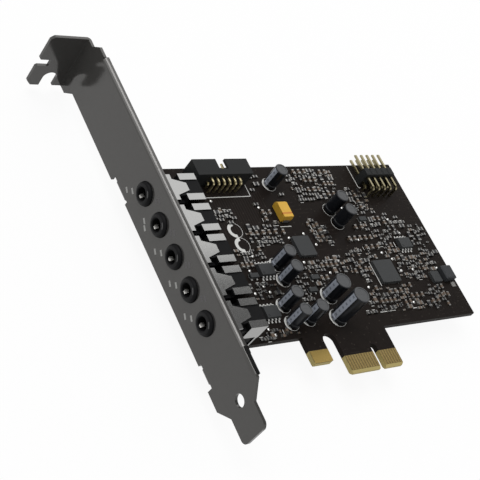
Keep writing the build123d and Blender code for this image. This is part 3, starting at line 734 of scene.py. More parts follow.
class Bench:
    """Modelling in edit mode, one piece at a time, in millimetres."""

    round_sides: int = 40

    def __init__(self, name: str) -> None:
        """Start an empty piece in edit mode.

        Args:
            name: the piece's name.
        """
        clear_choice()
        self.object = bpy.data.objects.new(name, bpy.data.meshes.new(name))
        bpy.context.scene.collection.objects.link(self.object)
        bpy.context.view_layer.objects.active = self.object
        self.object.select_set(True)
        bpy.ops.object.mode_set(mode="EDIT")

    def pick(self, test: Callable[[Vector], bool]) -> None:
        """Select only the points whose place passes a test.

        Args:
            test: tells from a place in millimetres whether the point is wanted.
        """
        bpy.ops.mesh.select_all(action="DESELECT")
        mesh = bmesh.from_edit_mesh(self.object.data)
        for point in mesh.verts:
            point.select_set(test(point.co / MM))
        mesh.select_flush_mode()
        bmesh.update_edit_mesh(self.object.data)

    def move(self, x: float, y: float, z: float) -> None:
        """Move the selected points."""
        bpy.ops.transform.translate(value=(x * MM, y * MM, z * MM))

    def raised(self, height: float) -> None:
        """Extrude the selected faces upwards."""
        bpy.ops.mesh.extrude_region_move(TRANSFORM_OT_translate={"value": (0, 0, height * MM)})

    def plate(self, middle: Triple, size: Pair, height: float) -> None:
        """Add a flat bar: a plane drawn out to its size and extruded.

        Args:
            middle: the middle of its lower face.
            size: its lengths along X and Y.
            height: its thickness.
        """
        place = Vector(middle) * MM
        bpy.ops.mesh.primitive_plane_add(size=MM, location=place)
        bpy.ops.transform.resize(value=(size[0], size[1], 1), center_override=place)
        self.raised(height)

    def ring(self, middle: Triple, inner: float, outer: float, height: float, cut: float | None = None) -> None:
        """Add a flat ring, or only the arc of it on the bracket's side.

        Args:
            middle: the middle of its lower face.
            inner: its inner radius.
            outer: its outer radius.
            height: its thickness.
            cut: how far before its middle it is cut across, with the arc at lower X kept.
        """
        place = Vector(middle) * MM
        bpy.ops.mesh.primitive_circle_add(
            vertices=self.round_sides, radius=outer * MM, fill_type="NOTHING", location=place
        )
        bpy.ops.mesh.extrude_edges_move()
        bpy.ops.transform.resize(value=(inner / outer, inner / outer, 1), center_override=place)
        bpy.ops.mesh.select_linked()
        if cut is not None:
            line = place - Vector((cut * MM, 0, 0))
            bpy.ops.mesh.bisect(plane_co=line, plane_no=(1, 0, 0), clear_outer=True)
            bpy.ops.mesh.select_linked()
        self.raised(height)

    def done(self) -> bpy.types.Object:
        """Turn all faces outwards and leave edit mode.

        Returns:
            The piece.
        """
        bpy.ops.mesh.select_all(action="SELECT")
        bpy.ops.mesh.normals_make_consistent(inside=False)
        bpy.ops.object.mode_set(mode="OBJECT")
        return self.object


def repeat(model: bpy.types.Object, places: list[Matrix]) -> bpy.types.Object:
    """Copy a modelled shape to many places and join the copies into one piece.

    Args:
        model: the shape, which is used up.
        places: the place of each copy, in metres.

    Returns:
        The joined piece, under the model's name.
    """
    name = model.name
    copies = []
    for place in places:
        mesh = model.data.copy()
        mesh.transform(place)
        copy = bpy.data.objects.new(name, mesh)
        bpy.context.scene.collection.objects.link(copy)
        copies.append(copy)
    bpy.data.objects.remove(model)
    clear_choice()
    for copy in copies:
        copy.select_set(True)
    bpy.context.view_layer.objects.active = copies[0]
    bpy.ops.object.join()
    copies[0].name = name
    return copies[0]


def settle(piece: bpy.types.Object, material: bpy.types.Material) -> str:
    """Dress a finished piece and let it ride on the card.

    Args:
        piece: the piece.
        material: its material.

    Returns:
        The piece's name.
    """
    piece.data.materials.clear()
    piece.data.materials.append(material)
    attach(piece, BODY)
    return piece.name


def dress(node: str, material: bpy.types.Material) -> str:
    """Give a node of the frame its material.

    Args:
        node: the node's name.
        material: its material.

    Returns:
        The node's name.
    """
    frame["nodes"][node].data.materials.clear()
    frame["nodes"][node].data.materials.append(material)
    return node


@cache
def solids_of(node: str) -> list[tuple[Vector, Vector]]:
    """Find the separate solids of a node.

    Args:
        node: the node's name.

    Returns:
        The lowest and highest corner of each solid, in millimetres.
    """
    clear_choice()
    copy = bpy.data.objects.new("solids", frame["nodes"][node].data.copy())
    bpy.context.scene.collection.objects.link(copy)
    bpy.context.view_layer.objects.active = copy
    copy.select_set(True)
    bpy.ops.object.mode_set(mode="EDIT")
    bpy.ops.mesh.select_all(action="SELECT")
    bpy.ops.mesh.remove_doubles(threshold=WELD * MM)
    bpy.ops.mesh.separate(type="LOOSE")
    bpy.ops.object.mode_set(mode="OBJECT")
    corners = []
    for part in list(bpy.context.selected_objects):
        points = [vertex.co / MM for vertex in part.data.vertices]
        corners.append((Vector(map(min, zip(*points))), Vector(map(max, zip(*points)))))
        bpy.data.objects.remove(part)
    return sorted(corners, key=lambda pair: tuple(pair[0]))


@dataclass(frozen=True)
class PhotoCamera:
    """The camera that took the picture, in millimetres and pixels."""

    eye: Triple = (-240.7108, -91.7267, 212.9226)
    right: Triple = (0.76376039, -0.40537567, 0.50233519)
    up: Triple = (0.05365692, 0.81538806, 0.57642280)
    focal: float = 1199.654
    picture: float = 480.0
    sensor: float = 36.0
    clip: Pair = (10.0, 20000.0)

    def place(self) -> None:
        """Add the camera to the scene."""
        data = bpy.data.cameras.new("camera")
        data.sensor_width = self.sensor
        data.lens = self.focal * self.sensor / self.picture
        data.clip_start, data.clip_end = (limit * MM for limit in self.clip)
        camera = bpy.data.objects.new("camera", data)
        right, up = Vector(self.right), Vector(self.up)
        turn = Matrix((right, up, right.cross(up))).transposed()
        camera.matrix_world = Matrix.Translation(Vector(self.eye) * MM) @ turn.to_4x4()
        bpy.context.scene.collection.objects.link(camera)
        bpy.context.scene.camera = camera


@dataclass
class Studio:
    """White surroundings with a top lamp, a softbox and a dim flag beside it."""

    top_from: Triple = (-0.25, 0.35, 0.9)
    top_strength: float = 1.55
    top_softness: float = 45.0
    ambient: float = 0.5
    box_centre: Triple = (560.0, 798.0, 610.0)
    box_size: Pair = (1200.0, 800.0)
    box_strength: float = 0.82
    flag_centre: Triple = (560.0, -87.0, 610.0)
    flag_size: Pair = (1200.0, 970.0)
    flag_glow: float = 0.28
    floor_gap: float = 2.0
    floor_size: Pair = (4000.0, 4000.0)
    floor_white: Colour = (0.9, 0.9, 0.9)
    floor_shade: float = 0.08

    def seen(self, tree: bpy.types.NodeTree) -> Socket:
        """Tell the rays of the camera, of mirrors and of glass from the rest.

        Args:
            tree: the node tree of the world or of a material.

        Returns:
            The mask, 1 for those rays.
        """
        path = tree.nodes.new("ShaderNodeLightPath")
        value = path.outputs["Is Camera Ray"]
        for name in ("Is Glossy Ray", "Is Transmission Ray"):
            value = calc(tree, "MAXIMUM", value, path.outputs[name])
        return value

    def world(self) -> None:
        """White where it is seen, soft grey light for the rest."""
        world = bpy.data.worlds.new("studio")
        bpy.context.scene.world = world
        world.use_nodes = True
        tree = world.node_tree
        background = tree.nodes["Background"]
        level = calc(tree, "MAXIMUM", self.seen(tree), self.ambient)
        tree.links.new(level, background.inputs["Strength"])
        background.inputs["Color"].default_value = (1.0, 1.0, 1.0, 1.0)

    def lamp(self) -> None:
        """Add the wide distant lamp above the card."""
        data = bpy.data.lights.new("top", "SUN")
        data.energy = self.top_strength
        data.angle = math.radians(self.top_softness)
        lamp = bpy.data.objects.new("top", data)
        lamp.rotation_mode = "QUATERNION"
        lamp.rotation_quaternion = Vector(self.top_from).to_track_quat("Z", "Y")
        bpy.context.scene.collection.objects.link(lamp)

    def softbox(self) -> None:
        """Add the wide softbox that the plated metal reflects."""
        data = bpy.data.lights.new("softbox", "AREA")
        data.shape = "RECTANGLE"
        data.size, data.size_y = (side * MM for side in self.box_size)
        data.energy = self.box_strength * math.pi * data.size * data.size_y
        lamp = bpy.data.objects.new("softbox", data)
        lamp.location = Vector(self.box_centre) * MM
        bpy.context.scene.collection.objects.link(lamp)

    def sheet(self, name: str, centre: Vector, size: Pair) -> bpy.types.Object:
        """Add a level sheet of the studio.

        Args:
            name: its name.
            centre: its middle, in metres.
            size: its lengths along X and Y, in millimetres.

        Returns:
            The sheet.
        """
        clear_choice()
        bpy.ops.mesh.primitive_plane_add(size=1.0)
        sheet = bpy.context.object
        sheet.name = name
        scale = Matrix.Diagonal((size[0] * MM, size[1] * MM, 1.0, 1.0))
        sheet.data.transform(Matrix.Translation(centre) @ scale)
        sheet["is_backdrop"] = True
        return sheet

    def glow(self, name: str, strength: float) -> tuple[bpy.types.Material, Socket]:
        """Start a material that shines evenly.

        Args:
            name: the material's name.
            strength: its strength.

        Returns:
            The material and the output of its emission.
        """
        material = bpy.data.materials.new(name)
        material.use_nodes = True
        emission = material.node_tree.nodes.new("ShaderNodeEmission")
        emission.inputs["Strength"].default_value = strength
        output = material.node_tree.nodes["Material Output"].inputs["Surface"]
        material.node_tree.links.new(emission.outputs[0], output)
        return material, emission.outputs[0]

    def flag(self) -> None:
        """Add the dim sheet beside the softbox, which only mirrors show."""
        flag = self.sheet("flag", Vector(self.flag_centre) * MM, self.flag_size)
        flag.visible_camera = flag.visible_diffuse = flag.visible_shadow = flag.visible_transmission = False
        flag.data.materials.append(self.glow("flag grey", self.flag_glow)[0])

    def floor(self) -> None:
        """Add the white floor, which keeps a trace of the card's shadow."""
        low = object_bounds()[0]
        floor = self.sheet("floor", Vector((0, 0, low.z - self.floor_gap * MM)), self.floor_size)
        floor.visible_shadow = False
        material, shine = self.glow("floor white", 1.0)
        tree = material.node_tree
        diffuse = tree.nodes.new("ShaderNodeBsdfDiffuse")
        diffuse.inputs["Color"].default_value = (*self.floor_white, 1.0)
        share = calc(tree, "MULTIPLY", self.seen(tree), 1 - self.floor_shade)
        mix = tree.nodes.new("ShaderNodeMixShader")
        tree.links.new(share, mix.inputs["Fac"])
        tree.links.new(diffuse.outputs[0], mix.inputs[1])
        tree.links.new(shine, mix.inputs[2])
        tree.links.new(mix.outputs[0], tree.nodes["Material Output"].inputs["Surface"])
        floor.data.materials.append(material)

    def build(self) -> None:
        """Set the view and add every light."""
        bpy.context.scene.view_settings.view_transform = "Standard"
        self.world()
        self.lamp()
        self.softbox()
        self.floor()
        self.flag()


@dataclass
class Bracket:
    """The folded bracket with its screws and the small marks beside the sockets."""

    sheet: float = 0.86
    wall_gap: float = 0.05
    sockets: int = 5
    close_set: int = 2
    stroke: Pair = (0.7, 1.6)
    stroke_tilt: float = 25.0
    ink: float = 0.02
    usual: tuple[Pair, ...] = ((5.8, 0.8), (4.0, 2.7))
    close: tuple[Pair, ...] = ((4.75, 1.95), (3.2, 0.9))
    below: tuple[Pair, ...] = ((-4.3, 9.4), (-5.1, 10.5))

    def marks(self, name: str, offsets: dict[int, tuple[Pair, ...]], finish: Finish) -> str:
        """Set short strokes beside the sockets.

        Args:
            name: the piece's name.
            offsets: for each socket's number, how far beside its middle and how high each stroke lies.
            finish: the finish of the strokes.

        Returns:
            The piece's name.
        """
        bench = Bench(name)
        bench.plate((0, 0, 0), self.stroke, self.ink)
        stroke = bench.done()
        tilt = turned(self.stroke_tilt, "X") @ turned(-90, "Y")
        places = []
        for number, strokes in offsets.items():
            plate = f"jack_{number}_plate"
            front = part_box(plate)[0].x / MM - self.sheet - self.wall_gap
            places += [shift(front, middle_of(plate)[1] + beside, height) @ tilt for beside, height in strokes]
        return settle(repeat(stroke, places), finish.make())

    def build(self) -> list[str]:
        """Dress the bracket and its screws, and set the pale printed marks and the faint dark strokes.

        Returns:
            The names of the pieces.
        """
        pale = {number: self.usual for number in range(1, self.sockets + 1)}
        pale[self.close_set] = self.close
        dark = {number: self.below for number in range(1, self.sockets)}
        return [
            dress("bracket", BracketFinish().make()),
            dress("bracket_screws", SCREW_STEEL.make()),
            self.marks("bracket_marks", pale, FACE_INK),
            self.marks("bracket_dark_marks", dark, DARK_STROKES),
        ]


@dataclass
class Board:
    """The board with its gold fingers."""

    mask: BoardFinish = BoardFinish()
    fingers: Finish = GOLD_PLATE
    hook: Finish = HOOK_GOLD

    def build(self) -> list[str]:
        """Dress the board and its gold.

        Returns:
            The names of the pieces.
        """
        looks = {"board": self.mask, "edge_fingers": self.fingers, "hook_pads": self.hook}
        return [dress(node, finish.make()) for node, finish in looks.items()]


@dataclass
class Jacks:
    """The row of audio sockets with a spring leaf in each bore."""

    count: int = 5
    nozzle_radius: float = 3.3
    nozzle_proud: float = 1.2
    bore_radius: float = 1.8
    leaf: Pair = (2.4, 1.2)
    leaf_thick: float = 0.12
    leaf_cuts: int = 3
    leaf_steps: Pair = (0.75, 0.3)
    leaf_lift: float = 0.3
    leaf_depth: float = 0.5
    leaf_side: float = 0.5

    def nozzle(self, number: int) -> Triple:
        """Find the middle of a nozzle's front.

        Args:
            number: the socket's number.

        Returns:
            The place, in millimetres.
        """
        node = f"jack_{number}_housing"
        low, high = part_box(node)
        return low.x / MM, middle_of(node)[1], high.z / MM - self.nozzle_radius

    def leaves(self) -> str:
        """Model one bowed spring leaf and set it into each bore.

        Returns:
            The piece's name.
        """
        bench = Bench("bore_springs")
        bench.plate((0, 0, 0), self.leaf, self.leaf_thick)
        bpy.ops.mesh.select_all(action="SELECT")
        bpy.ops.mesh.subdivide(number_cuts=self.leaf_cuts)
        for share in self.leaf_steps:
            bench.pick(lambda place: abs(place.x) < self.leaf[0] / 2 * share)
            bench.move(0, 0, self.leaf_lift)
        leaf = bench.done()
        places = []
        for number in range(1, self.count + 1):
            front, y, z = self.nozzle(number)
            x = front + self.leaf_depth + self.leaf[0] / 2
            places.append(shift(x, y + self.leaf_side, z - self.bore_radius))
        return settle(repeat(leaf, places), SOLDER.make())

    def build(self) -> list[str]:
        """Dress the housings, plates and contacts, and add the leaves.

        Returns:
            The names of the pieces.
        """
        tin = TIN_PLATE.make()
        names = []
        for number in range(1, self.count + 1):
            front, y, z = self.nozzle(number)
            finish = JackFinish((y, z), front + self.nozzle_proud)
            names.append(dress(f"jack_{number}_housing", finish.make()))
            names += [dress(f"jack_{number}_{plated}", tin) for plated in ("plate", "contacts")]
        return names + [self.leaves()]


@dataclass
class Headers:
    """The shrouded header and the open header."""

    moulding: Finish = HEADER_PLASTIC
    boxed_pins: Finish = BOXED_GOLD
    open_pins: Finish = PIN_GOLD

    def build(self) -> list[str]:
        """Dress both headers.

        Returns:
            The names of the pieces.
        """
        plastic = self.moulding.make()
        names = [dress(node, plastic) for node in ("box_header_shroud", "open_header_base")]
        names.append(dress("box_header_pins", self.boxed_pins.make()))
        return names + [dress("open_header_pins", self.open_pins.make())]


@dataclass
class Cans:
    """The radial capacitors with the rings printed round them."""

    rows: tuple[tuple[Facing, tuple[str, ...]], ...] = (
        (Facing.BRACKET, ("upper_left", "row_a", "row_b", "row_c", "row_d", "row_e", "large", "tall")),
        (Facing.FAR_END, ("upper_right", "middle_right")),
    )
    ring_gap: float = 0.2
    ring_width: float = 0.12
    ink: float = 0.02
    moon_width: float = 0.36
    moon_under: float = 0.6
    moon_cut: float = 0.55
    moon_ink: float = 0.03
    spare_rings: tuple[Pair, ...] = ((-28.28, 48.07), (-28.18, 43.09))
    spare_radius: float = 2.5
    spare_inner: float = 1.45

    def build(self) -> list[str]:
        """Dress each can and print its ring and its half moon.

        Returns:
            The names of the pieces.
        """
        bench = Bench("can_rings")
        names = []
        for facing, node in ((facing, f"capacitor_{name}") for facing, row in self.rows for name in row):
            x, y = middle_of(node)
            radius = span_of(node)[0] / 2
            names.append(dress(node, CanFinish((x, y), radius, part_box(node)[1].z / MM, facing).make()))
            inner = radius + self.ring_gap
            bench.ring((x, y, 0), inner, inner + self.ring_width, self.ink)
            if facing is Facing.BRACKET:
                inner, outer = radius - self.moon_under, radius + self.moon_width
                bench.ring((x, y, 0), inner, outer, self.moon_ink, radius * self.moon_cut)
        for x, y in self.spare_rings:
            bench.ring((x, y, 0), self.spare_radius - self.ring_width, self.spare_radius, self.ink)
            bench.ring((x, y, 0), self.spare_inner, self.spare_radius, self.moon_ink, 0.0)
        return names + [settle(bench.done(), SILK_INK.make())]


@dataclass
class Chips:
    """The chips with their pads, the moulded capacitor and the inductor."""

    eight_lead: tuple[str, ...] = ("amplifier_chip_upper", "amplifier_chip_lower", "memory_chip")
    eight_lead_body: Pair = (4.9, 3.9)
    leadless: tuple[str, ...] = ("controller_chip", "converter_chip", "regulator_chip")
    leadless_spare: float = 1.0
    transistor_reach: Pair = (400.0, 400.0)
    transistor_leads: float = 0.21
    pad: Pair = (0.3, 0.26)
    pad_pitch: float = 0.65
    pad_corner: float = 0.9
    pad_height: float = 0.1

    def pads(self) -> str:
        """Set the pads of the leadless chips along all their sides.

        Returns:
            The piece's name.
        """
        bench = Bench("chip_pads")
        bench.plate((self.pad[0] / 2, 0, 0), self.pad, self.pad_height)
        pad = bench.done()
        places = []
        for node in self.leadless:
            x, y = middle_of(node)
            half = [side / 2 for side in span_of(node)]
            for degrees in range(0, 360, 90):
                reach, run = half if degrees % 180 == 0 else half[::-1]
                count = int(2 * (run - self.pad_corner) / self.pad_pitch) + 1
                for k in range(count):
                    along = self.pad_pitch * (k - (count - 1) / 2)
                    places.append(shift(x, y) @ turned(degrees) @ shift(reach, along))
        return settle(repeat(pad, places), SOLDER.make())

    def build(self) -> list[str]:
        """Dress every larger part that is no can.

        Returns:
            The names of the pieces.
        """
        finishes = {node: ChipFinish(middle_of(node), self.eight_lead_body) for node in self.eight_lead}
        for node in self.leadless:
            wide, deep = span_of(node)
            finishes[node] = ChipFinish(middle_of(node), (wide, deep + self.leadless_spare))
        finishes["transistor_chips"] = ChipFinish((0.0, 0.0), self.transistor_reach, self.transistor_leads)
        moulded = "chip_tantalum"
        finishes[moulded] = TantalumFinish(middle_of(moulded), span_of(moulded)[1])
        finishes["inductor"] = INDUCTOR_GREY
        return [dress(node, finish.make()) for node, finish in finishes.items()] + [self.pads()]


@dataclass
class SmallParts:
    """The chip resistors and capacitors with their tinned ends and printed bars."""

    end_length: float = 0.36
    end_proud: float = 0.03
    solder_run: float = 0.28
    bar_gap: float = 0.42
    bar_width: float = 0.16
    bar_share: float = 0.8
    bar_sides: tuple[tuple[int, ...], ...] = ((1,), (-1, 1), ())
    ink: float = 0.02

    def end_cap(self, name: str, wide: float, high: float) -> bpy.types.Object:
        """Model one tinned end with its solder slope, at the origin and facing +X.

        Args:
            name: the piece's name.
            wide: the part's width.
            high: the part's height.

        Returns:
            The end as an object.
        """
        bench = Bench(name)
        size = (self.end_length, wide + 2 * self.end_proud)
        bench.plate((-self.end_length / 2, 0, 0), size, high + self.end_proud)
        bench.pick(lambda place: place.x > -NEAR and place.z > NEAR)
        bench.move(self.end_proud, 0, 0)
        bench.pick(lambda place: place.x > -NEAR and place.z < NEAR)
        bench.move(self.solder_run, 0, 0)
        return bench.done()

    def ends(self, node: str, piece: str) -> str:
        """Set an end on both ends of every solid of a node.

        Args:
            node: the node with the chip parts.
            piece: the name of the new piece.

        Returns:
            The piece's name.
        """
        corners = solids_of(node)
        first = corners[0][1] - corners[0][0]
        places = []
        for low, high in corners:
            middle = (low + high) / 2
            reach = max(high.x - low.x, high.y - low.y) / 2
            for degrees in (0, 180) if first.x > first.y else (90, 270):
                places.append(shift(middle.x, middle.y) @ turned(degrees) @ shift(reach, 0))
        cap = self.end_cap(piece, min(first.x, first.y), first.z)
        return settle(repeat(cap, places), SOLDER.make())

    def bars(self) -> str:
        """Print thin bars beside two of every three parts.

        Returns:
            The piece's name.
        """
        bench = Bench("part_bars")
        for number, (low, high) in enumerate(solids_of("chip_resistors") + solids_of("chip_capacitors")):
            middle, size = (low + high) / 2, high - low
            for side in self.bar_sides[number % len(self.bar_sides)]:
                if size.x > size.y:
                    bench.plate((middle.x, middle.y + side * (size.y / 2 + self.bar_gap), 0),
                                (size.x * self.bar_share, self.bar_width), self.ink)
                else:
                    bench.plate((middle.x + side * (size.x / 2 + self.bar_gap), middle.y, 0),
                                (self.bar_width, size.y * self.bar_share), self.ink)
        return settle(bench.done(), SILK_INK.make())

    def build(self) -> list[str]:
        """Dress the chip parts, and add their ends and bars.

        Returns:
            The names of the pieces.
        """
        return [
            dress("chip_resistors", RESISTOR_GLAZE.make()),
            dress("chip_capacitors", CERAMIC_TAN.make()),
            self.ends("chip_resistors", "resistor_ends"),
            self.ends("chip_capacitors", "capacitor_ends"),
            self.bars(),
        ]


@dataclass(frozen=True)
class Row:
    """One straight row of equal parts."""

    start: Pair
    pitch: float
    count: int
    degrees: int
    size: int


@dataclass(frozen=True)
class Zone:
    """One crowded patch of the board."""

    box: Box
    tries: float
    tan: float


@dataclass
class Clutter:
    """The finest chip parts: a few straight rows, then the crowded patches, filled with seeded chance."""

    rows: tuple[Row, ...] = (
        Row((-23.2, 47.9), 1.9, 6, 90, 1), Row((-24.2, 45.5), 2.4, 5, 0, 1), Row((-22.2, 43.2), 1.5, 6, 90, 2),
    )
    zones: tuple[Zone, ...] = (
        Zone((0.5, 57.2, 19.0, 68.2), 1.15, 0.3), Zone((-0.8, 42.0, 3.4, 49.0), 2.6, 0.8),
        Zone((21.0, 50.8, 29.0, 60.4), 1.4, 0.2), Zone((22.0, 41.0, 38.0, 50.4), 0.6, 0.2),
        Zone((7.0, 34.2, 20.6, 38.8), 0.55, 0.3), Zone((22.4, 33.6, 30.6, 40.8), 1.0, 0.5),
        Zone((38.4, 34.4, 46.0, 45.6), 1.1, 0.1), Zone((25.6, 26.8, 41.6, 34.2), 1.9, 0.4),
        Zone((9.4, 16.4, 40.0, 21.2), 2.0, 0.4), Zone((9.4, 21.2, 24.8, 24.6), 1.4, 0.4),
        Zone((35.0, 21.2, 40.6, 24.6), 1.4, 0.3), Zone((-9.4, 31.8, 5.4, 36.8), 0.9, 0.3),
        Zone((-16.0, 23.4, -5.0, 31.6), 1.1, 0.2), Zone((4.2, 29.6, 15.4, 35.4), 1.6, 0.7),
        Zone((-32.4, 33.2, -27.2, 37.8), 0.75, 0.2), Zone((-33.0, 25.0, -22.0, 30.0), 1.8, 0.3),
        Zone((-36.0, 13.4, -24.0, 17.0), 1.7, 0.2), Zone((-32.0, 38.8, -22.8, 41.4), 1.9, 0.2),
        Zone((-34.0, 51.2, -26.8, 55.4), 1.8, 0.1), Zone((-13.8, 62.6, -11.2, 67.8), 0.4, 0.1),
        Zone((-25.0, 42.2, -13.6, 49.2), 2.5, 0.15),
    )
    sizes: tuple[Triple, ...] = ((2.0, 1.2, 0.6), (1.6, 0.8, 0.45), (1.0, 0.5, 0.35))
    weights: tuple[int, ...] = (3, 6, 3)
    grid: float = 0.2
    keep: float = 0.16
    dot_keep: float = 0.5
    end_share: float = 0.24
    end_proud: float = 0.02
    slope: float = 1.16
    seed: int = 17
    apart: tuple[str, ...] = ("bracket", "board", "edge_fingers", "hook_pads", "bracket_screws")

    def taken(self) -> list[Box]:
        """List what already lies on the board.

        Returns:
            The outlines of all parts of the frame and of the test points.
        """
        outlines = []
        for node in frame["nodes"]:
            if node not in self.apart:
                outlines += [(low.x, low.y, high.x, high.y) for low, high in solids_of(node)]
        for x, y in TEST_POINTS:
            outlines.append((x - self.dot_keep, y - self.dot_keep, x + self.dot_keep, y + self.dot_keep))
        return outlines

    def choices(self) -> Iterator[tuple[Triple, Finish, float, float, int]]:
        """Offer the size, finish, place and turn of every part that may be set.

        Yields:
            One part after another, the straight rows first.
        """
        for row in self.rows:
            for k in range(row.count):
                x = row.start[0] + k * row.pitch
                yield self.sizes[row.size], RESISTOR_GLAZE, x, row.start[1], row.degrees
        chance = random.Random(self.seed)
        for zone in self.zones:
            left, low, right, high = zone.box
            for _ in range(int((right - left) * (high - low) * zone.tries)):
                size = chance.choices(self.sizes, self.weights)[0]
                finish = CERAMIC_TAN if chance.random() < zone.tan else RESISTOR_GLAZE
                x = round(chance.uniform(left, right) / self.grid) * self.grid
                y = round(chance.uniform(low, high) / self.grid) * self.grid
                yield size, finish, x, y, chance.choice((0, 90))

    def places(self) -> dict[tuple[Triple, Finish], list[Matrix]]:
        """Choose the parts that lie clear of all others.

        Returns:
            The places of the parts of each size and finish.
        """
        taken = self.taken()
        found: dict[tuple[Triple, Finish], list[Matrix]] = {}
        for size, finish, x, y, degrees in self.choices():
            wide, deep = (size[1] / 2, size[0] / 2) if degrees else (size[0] / 2, size[1] / 2)
            box = (x - wide - self.keep, y - deep - self.keep, x + wide + self.keep, y + deep + self.keep)
            if all(box[2] < old[0] or box[0] > old[2] or box[3] < old[1] or box[1] > old[3] for old in taken):
                found.setdefault((size, finish), []).append(shift(x, y) @ turned(degrees))
                taken.append((x - wide, y - deep, x + wide, y + deep))
        return found

    def body(self, name: str, size: Triple) -> bpy.types.Object:
        """Model the body of a part between its ends.

        Args:
            name: the piece's name.
            size: the part's length, width and height.

        Returns:
            The body as an object.
        """
        bench = Bench(name)
        bench.plate((0, 0, 0), (size[0] * (1 - 2 * self.end_share), size[1]), size[2])
        return bench.done()

    def ends(self, name: str, size: Triple) -> bpy.types.Object:
        """Model both tinned ends of a part with their solder slopes.

        Args:
            name: the piece's name.
            size: the part's length, width and height.

        Returns:
            The ends as an object.
        """
        bench = Bench(name)
        length = size[0] * self.end_share
        for side in (-1, 1):
            middle = side * (size[0] - length) / 2
            bench.plate((middle, 0, 0), (length, size[1] + 2 * self.end_proud), size[2] + self.end_proud)
        bench.pick(lambda place: abs(place.x) > size[0] / 2 - NEAR and place.z < NEAR)
        bpy.ops.transform.resize(value=(self.slope, 1.0, 1.0), center_override=(0, 0, 0))
        return bench.done()

    def build(self) -> list[str]:
        """Fill the rows and the patches.

        Returns:
            The names of the pieces.
        """
        solder = SOLDER.make()
        looks = {finish: finish.make() for finish in (RESISTOR_GLAZE, CERAMIC_TAN)}
        names = []
        for number, ((size, finish), places) in enumerate(self.places().items()):
            names.append(settle(repeat(self.body(f"fine_bodies_{number}", size), places), looks[finish]))
            names.append(settle(repeat(self.ends(f"fine_ends_{number}", size), places), solder))
        return names


@dataclass
class Print:
    """Outlines printed on the board, in millimetres."""

    line: float = 0.24
    ink: float = 0.02
    lines: tuple[Box, ...] = (
        (-33.0, 59.44, -16.4, 59.44), (-16.5, 59.44, -16.5, 63.4),
        (28.7, 61.0, 28.7, 69.4), (28.7, 61.0, 29.5, 61.0),
        (15.8, 25.6, 15.8, 34.15), (24.6, 33.0, 24.6, 34.2),
        (30.6, 37.6, 30.6, 40.0), (-11.1, 48.3, -7.1, 48.3), (0.3, 42.2, 0.3, 48.2),
        (-1.7, 35.9, 2.2, 35.9), (-22.5, 37.15, -20.9, 37.15),
        (9.8, 17.0, 15.9, 17.0), (22.7, 16.9, 28.2, 16.9),
    )

    def build(self) -> list[str]:
        """Print the straight lines.

        Returns:
            The names of the pieces.
        """
        bench = Bench("board_lines")
        for x0, y0, x1, y1 in self.lines:
            size = (abs(x1 - x0) + self.line, abs(y1 - y0) + self.line)
            bench.plate(((x0 + x1) / 2, (y0 + y1) / 2, 0), size, self.ink)
        return [settle(bench.done(), SILK_INK.make())]


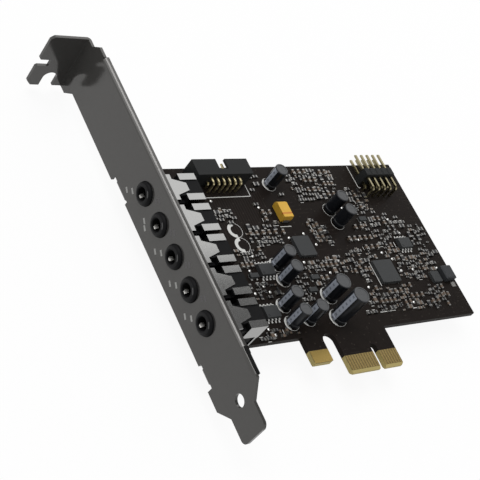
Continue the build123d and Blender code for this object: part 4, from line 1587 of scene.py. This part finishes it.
@dataclass
class Solder:
    """Domed test points on the board, and the cones round the leads below it."""

    dot_radius: float = 0.5
    dot_height: float = 0.3
    dot_sides: int = 12
    dot_rings: int = 8
    pad_place: Pair = (46.2, 23.2)
    pad_size: Pair = (1.8, 1.7)
    pad_height: float = 0.1
    board_low: float = -1.57
    cone_sides: int = 12
    cone_foot: float = 0.85
    cone_tip: float = 0.46
    cone_height: float = 0.7
    cone_waist: Pair = (0.4, 0.62)
    leg_inset: float = 0.75
    pin_half: float = 0.3
    can_leads: tuple[Pair, ...] = ((2.3, 0.75), (9.0, 1.0))

    def dots(self) -> str:
        """Model one solder dot and set it at every test point.

        Returns:
            The piece's name.
        """
        bench = Bench("solder_dots")
        bpy.ops.mesh.primitive_uv_sphere_add(
            segments=self.dot_sides, ring_count=self.dot_rings, radius=self.dot_radius * MM
        )
        bpy.ops.transform.resize(value=(1, 1, self.dot_height / self.dot_radius), center_override=(0, 0, 0))
        bpy.ops.mesh.bisect(plane_co=(0, 0, 0), plane_no=(0, 0, -1), clear_outer=True, use_fill=True)
        dot = bench.done()
        dot.data.shade_smooth()
        return settle(repeat(dot, [shift(x, y) for x, y in TEST_POINTS]), TEST_POINT.make())

    def bare_pad(self) -> str:
        """Set the tinned pad beside the inductor.

        Returns:
            The piece's name.
        """
        bench = Bench("bare_pad")
        bench.plate((*self.pad_place, 0), self.pad_size, self.pad_height)
        return settle(bench.done(), SOLDER.make())

    def leads(self) -> list[Pair]:
        """Find where leads go through the board.

        Returns:
            The places, in millimetres.
        """
        found = []
        for node in frame["nodes"]:
            if node.startswith("capacitor_"):
                x, y = middle_of(node)
                radius = span_of(node)[0] / 2
                apart = next(half for limit, half in self.can_leads if radius < limit)
                found += [(x - apart, y), (x + apart, y)]
            elif node.endswith("_pins"):
                found += [((low.x + high.x) / 2, low.y + self.pin_half) for low, high in solids_of(node)]
            elif node.endswith("_contacts"):
                lower, upper = solids_of(node)
                found += [(lower[1].x - self.leg_inset, lower[0].y), (upper[1].x - self.leg_inset, upper[1].y)]
        return found

    def cones(self) -> str:
        """Model one solder cone and set it round every lead below the board.

        Returns:
            The piece's name.
        """
        bench = Bench("solder_cones")
        bpy.ops.mesh.primitive_circle_add(
            vertices=self.cone_sides, radius=self.cone_foot * MM, fill_type="NGON"
        )
        depth, waist = self.cone_waist
        for height, share in ((depth, waist), (1 - depth, self.cone_tip / self.cone_foot / waist)):
            bench.raised(-height * self.cone_height)
            bpy.ops.transform.resize(value=(share, share, 1), center_override=(0, 0, 0))
        cone = bench.done()
        return settle(repeat(cone, [shift(x, y, self.board_low) for x, y in self.leads()]), SOLDER.make())

    def build(self) -> list[str]:
        """Return the names of the dots, the pad and the cones once they are set."""
        return [self.dots(), self.bare_pad(), self.cones()]


def main() -> None:
    """Build and dress the card, then place the camera and the studio."""
    logging.basicConfig(level=logging.INFO, format="%(message)s")
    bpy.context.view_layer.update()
    card = (Bracket(), Board(), Jacks(), Headers(), Cans(), Chips(), SmallParts(), Clutter(), Print(), Solder())
    for part in card:
        for piece in part.build():
            LOG.info("%s: %s", type(part).__name__, piece)
    PhotoCamera().place()
    Studio().build()


if __name__ == "__main__":
    main()
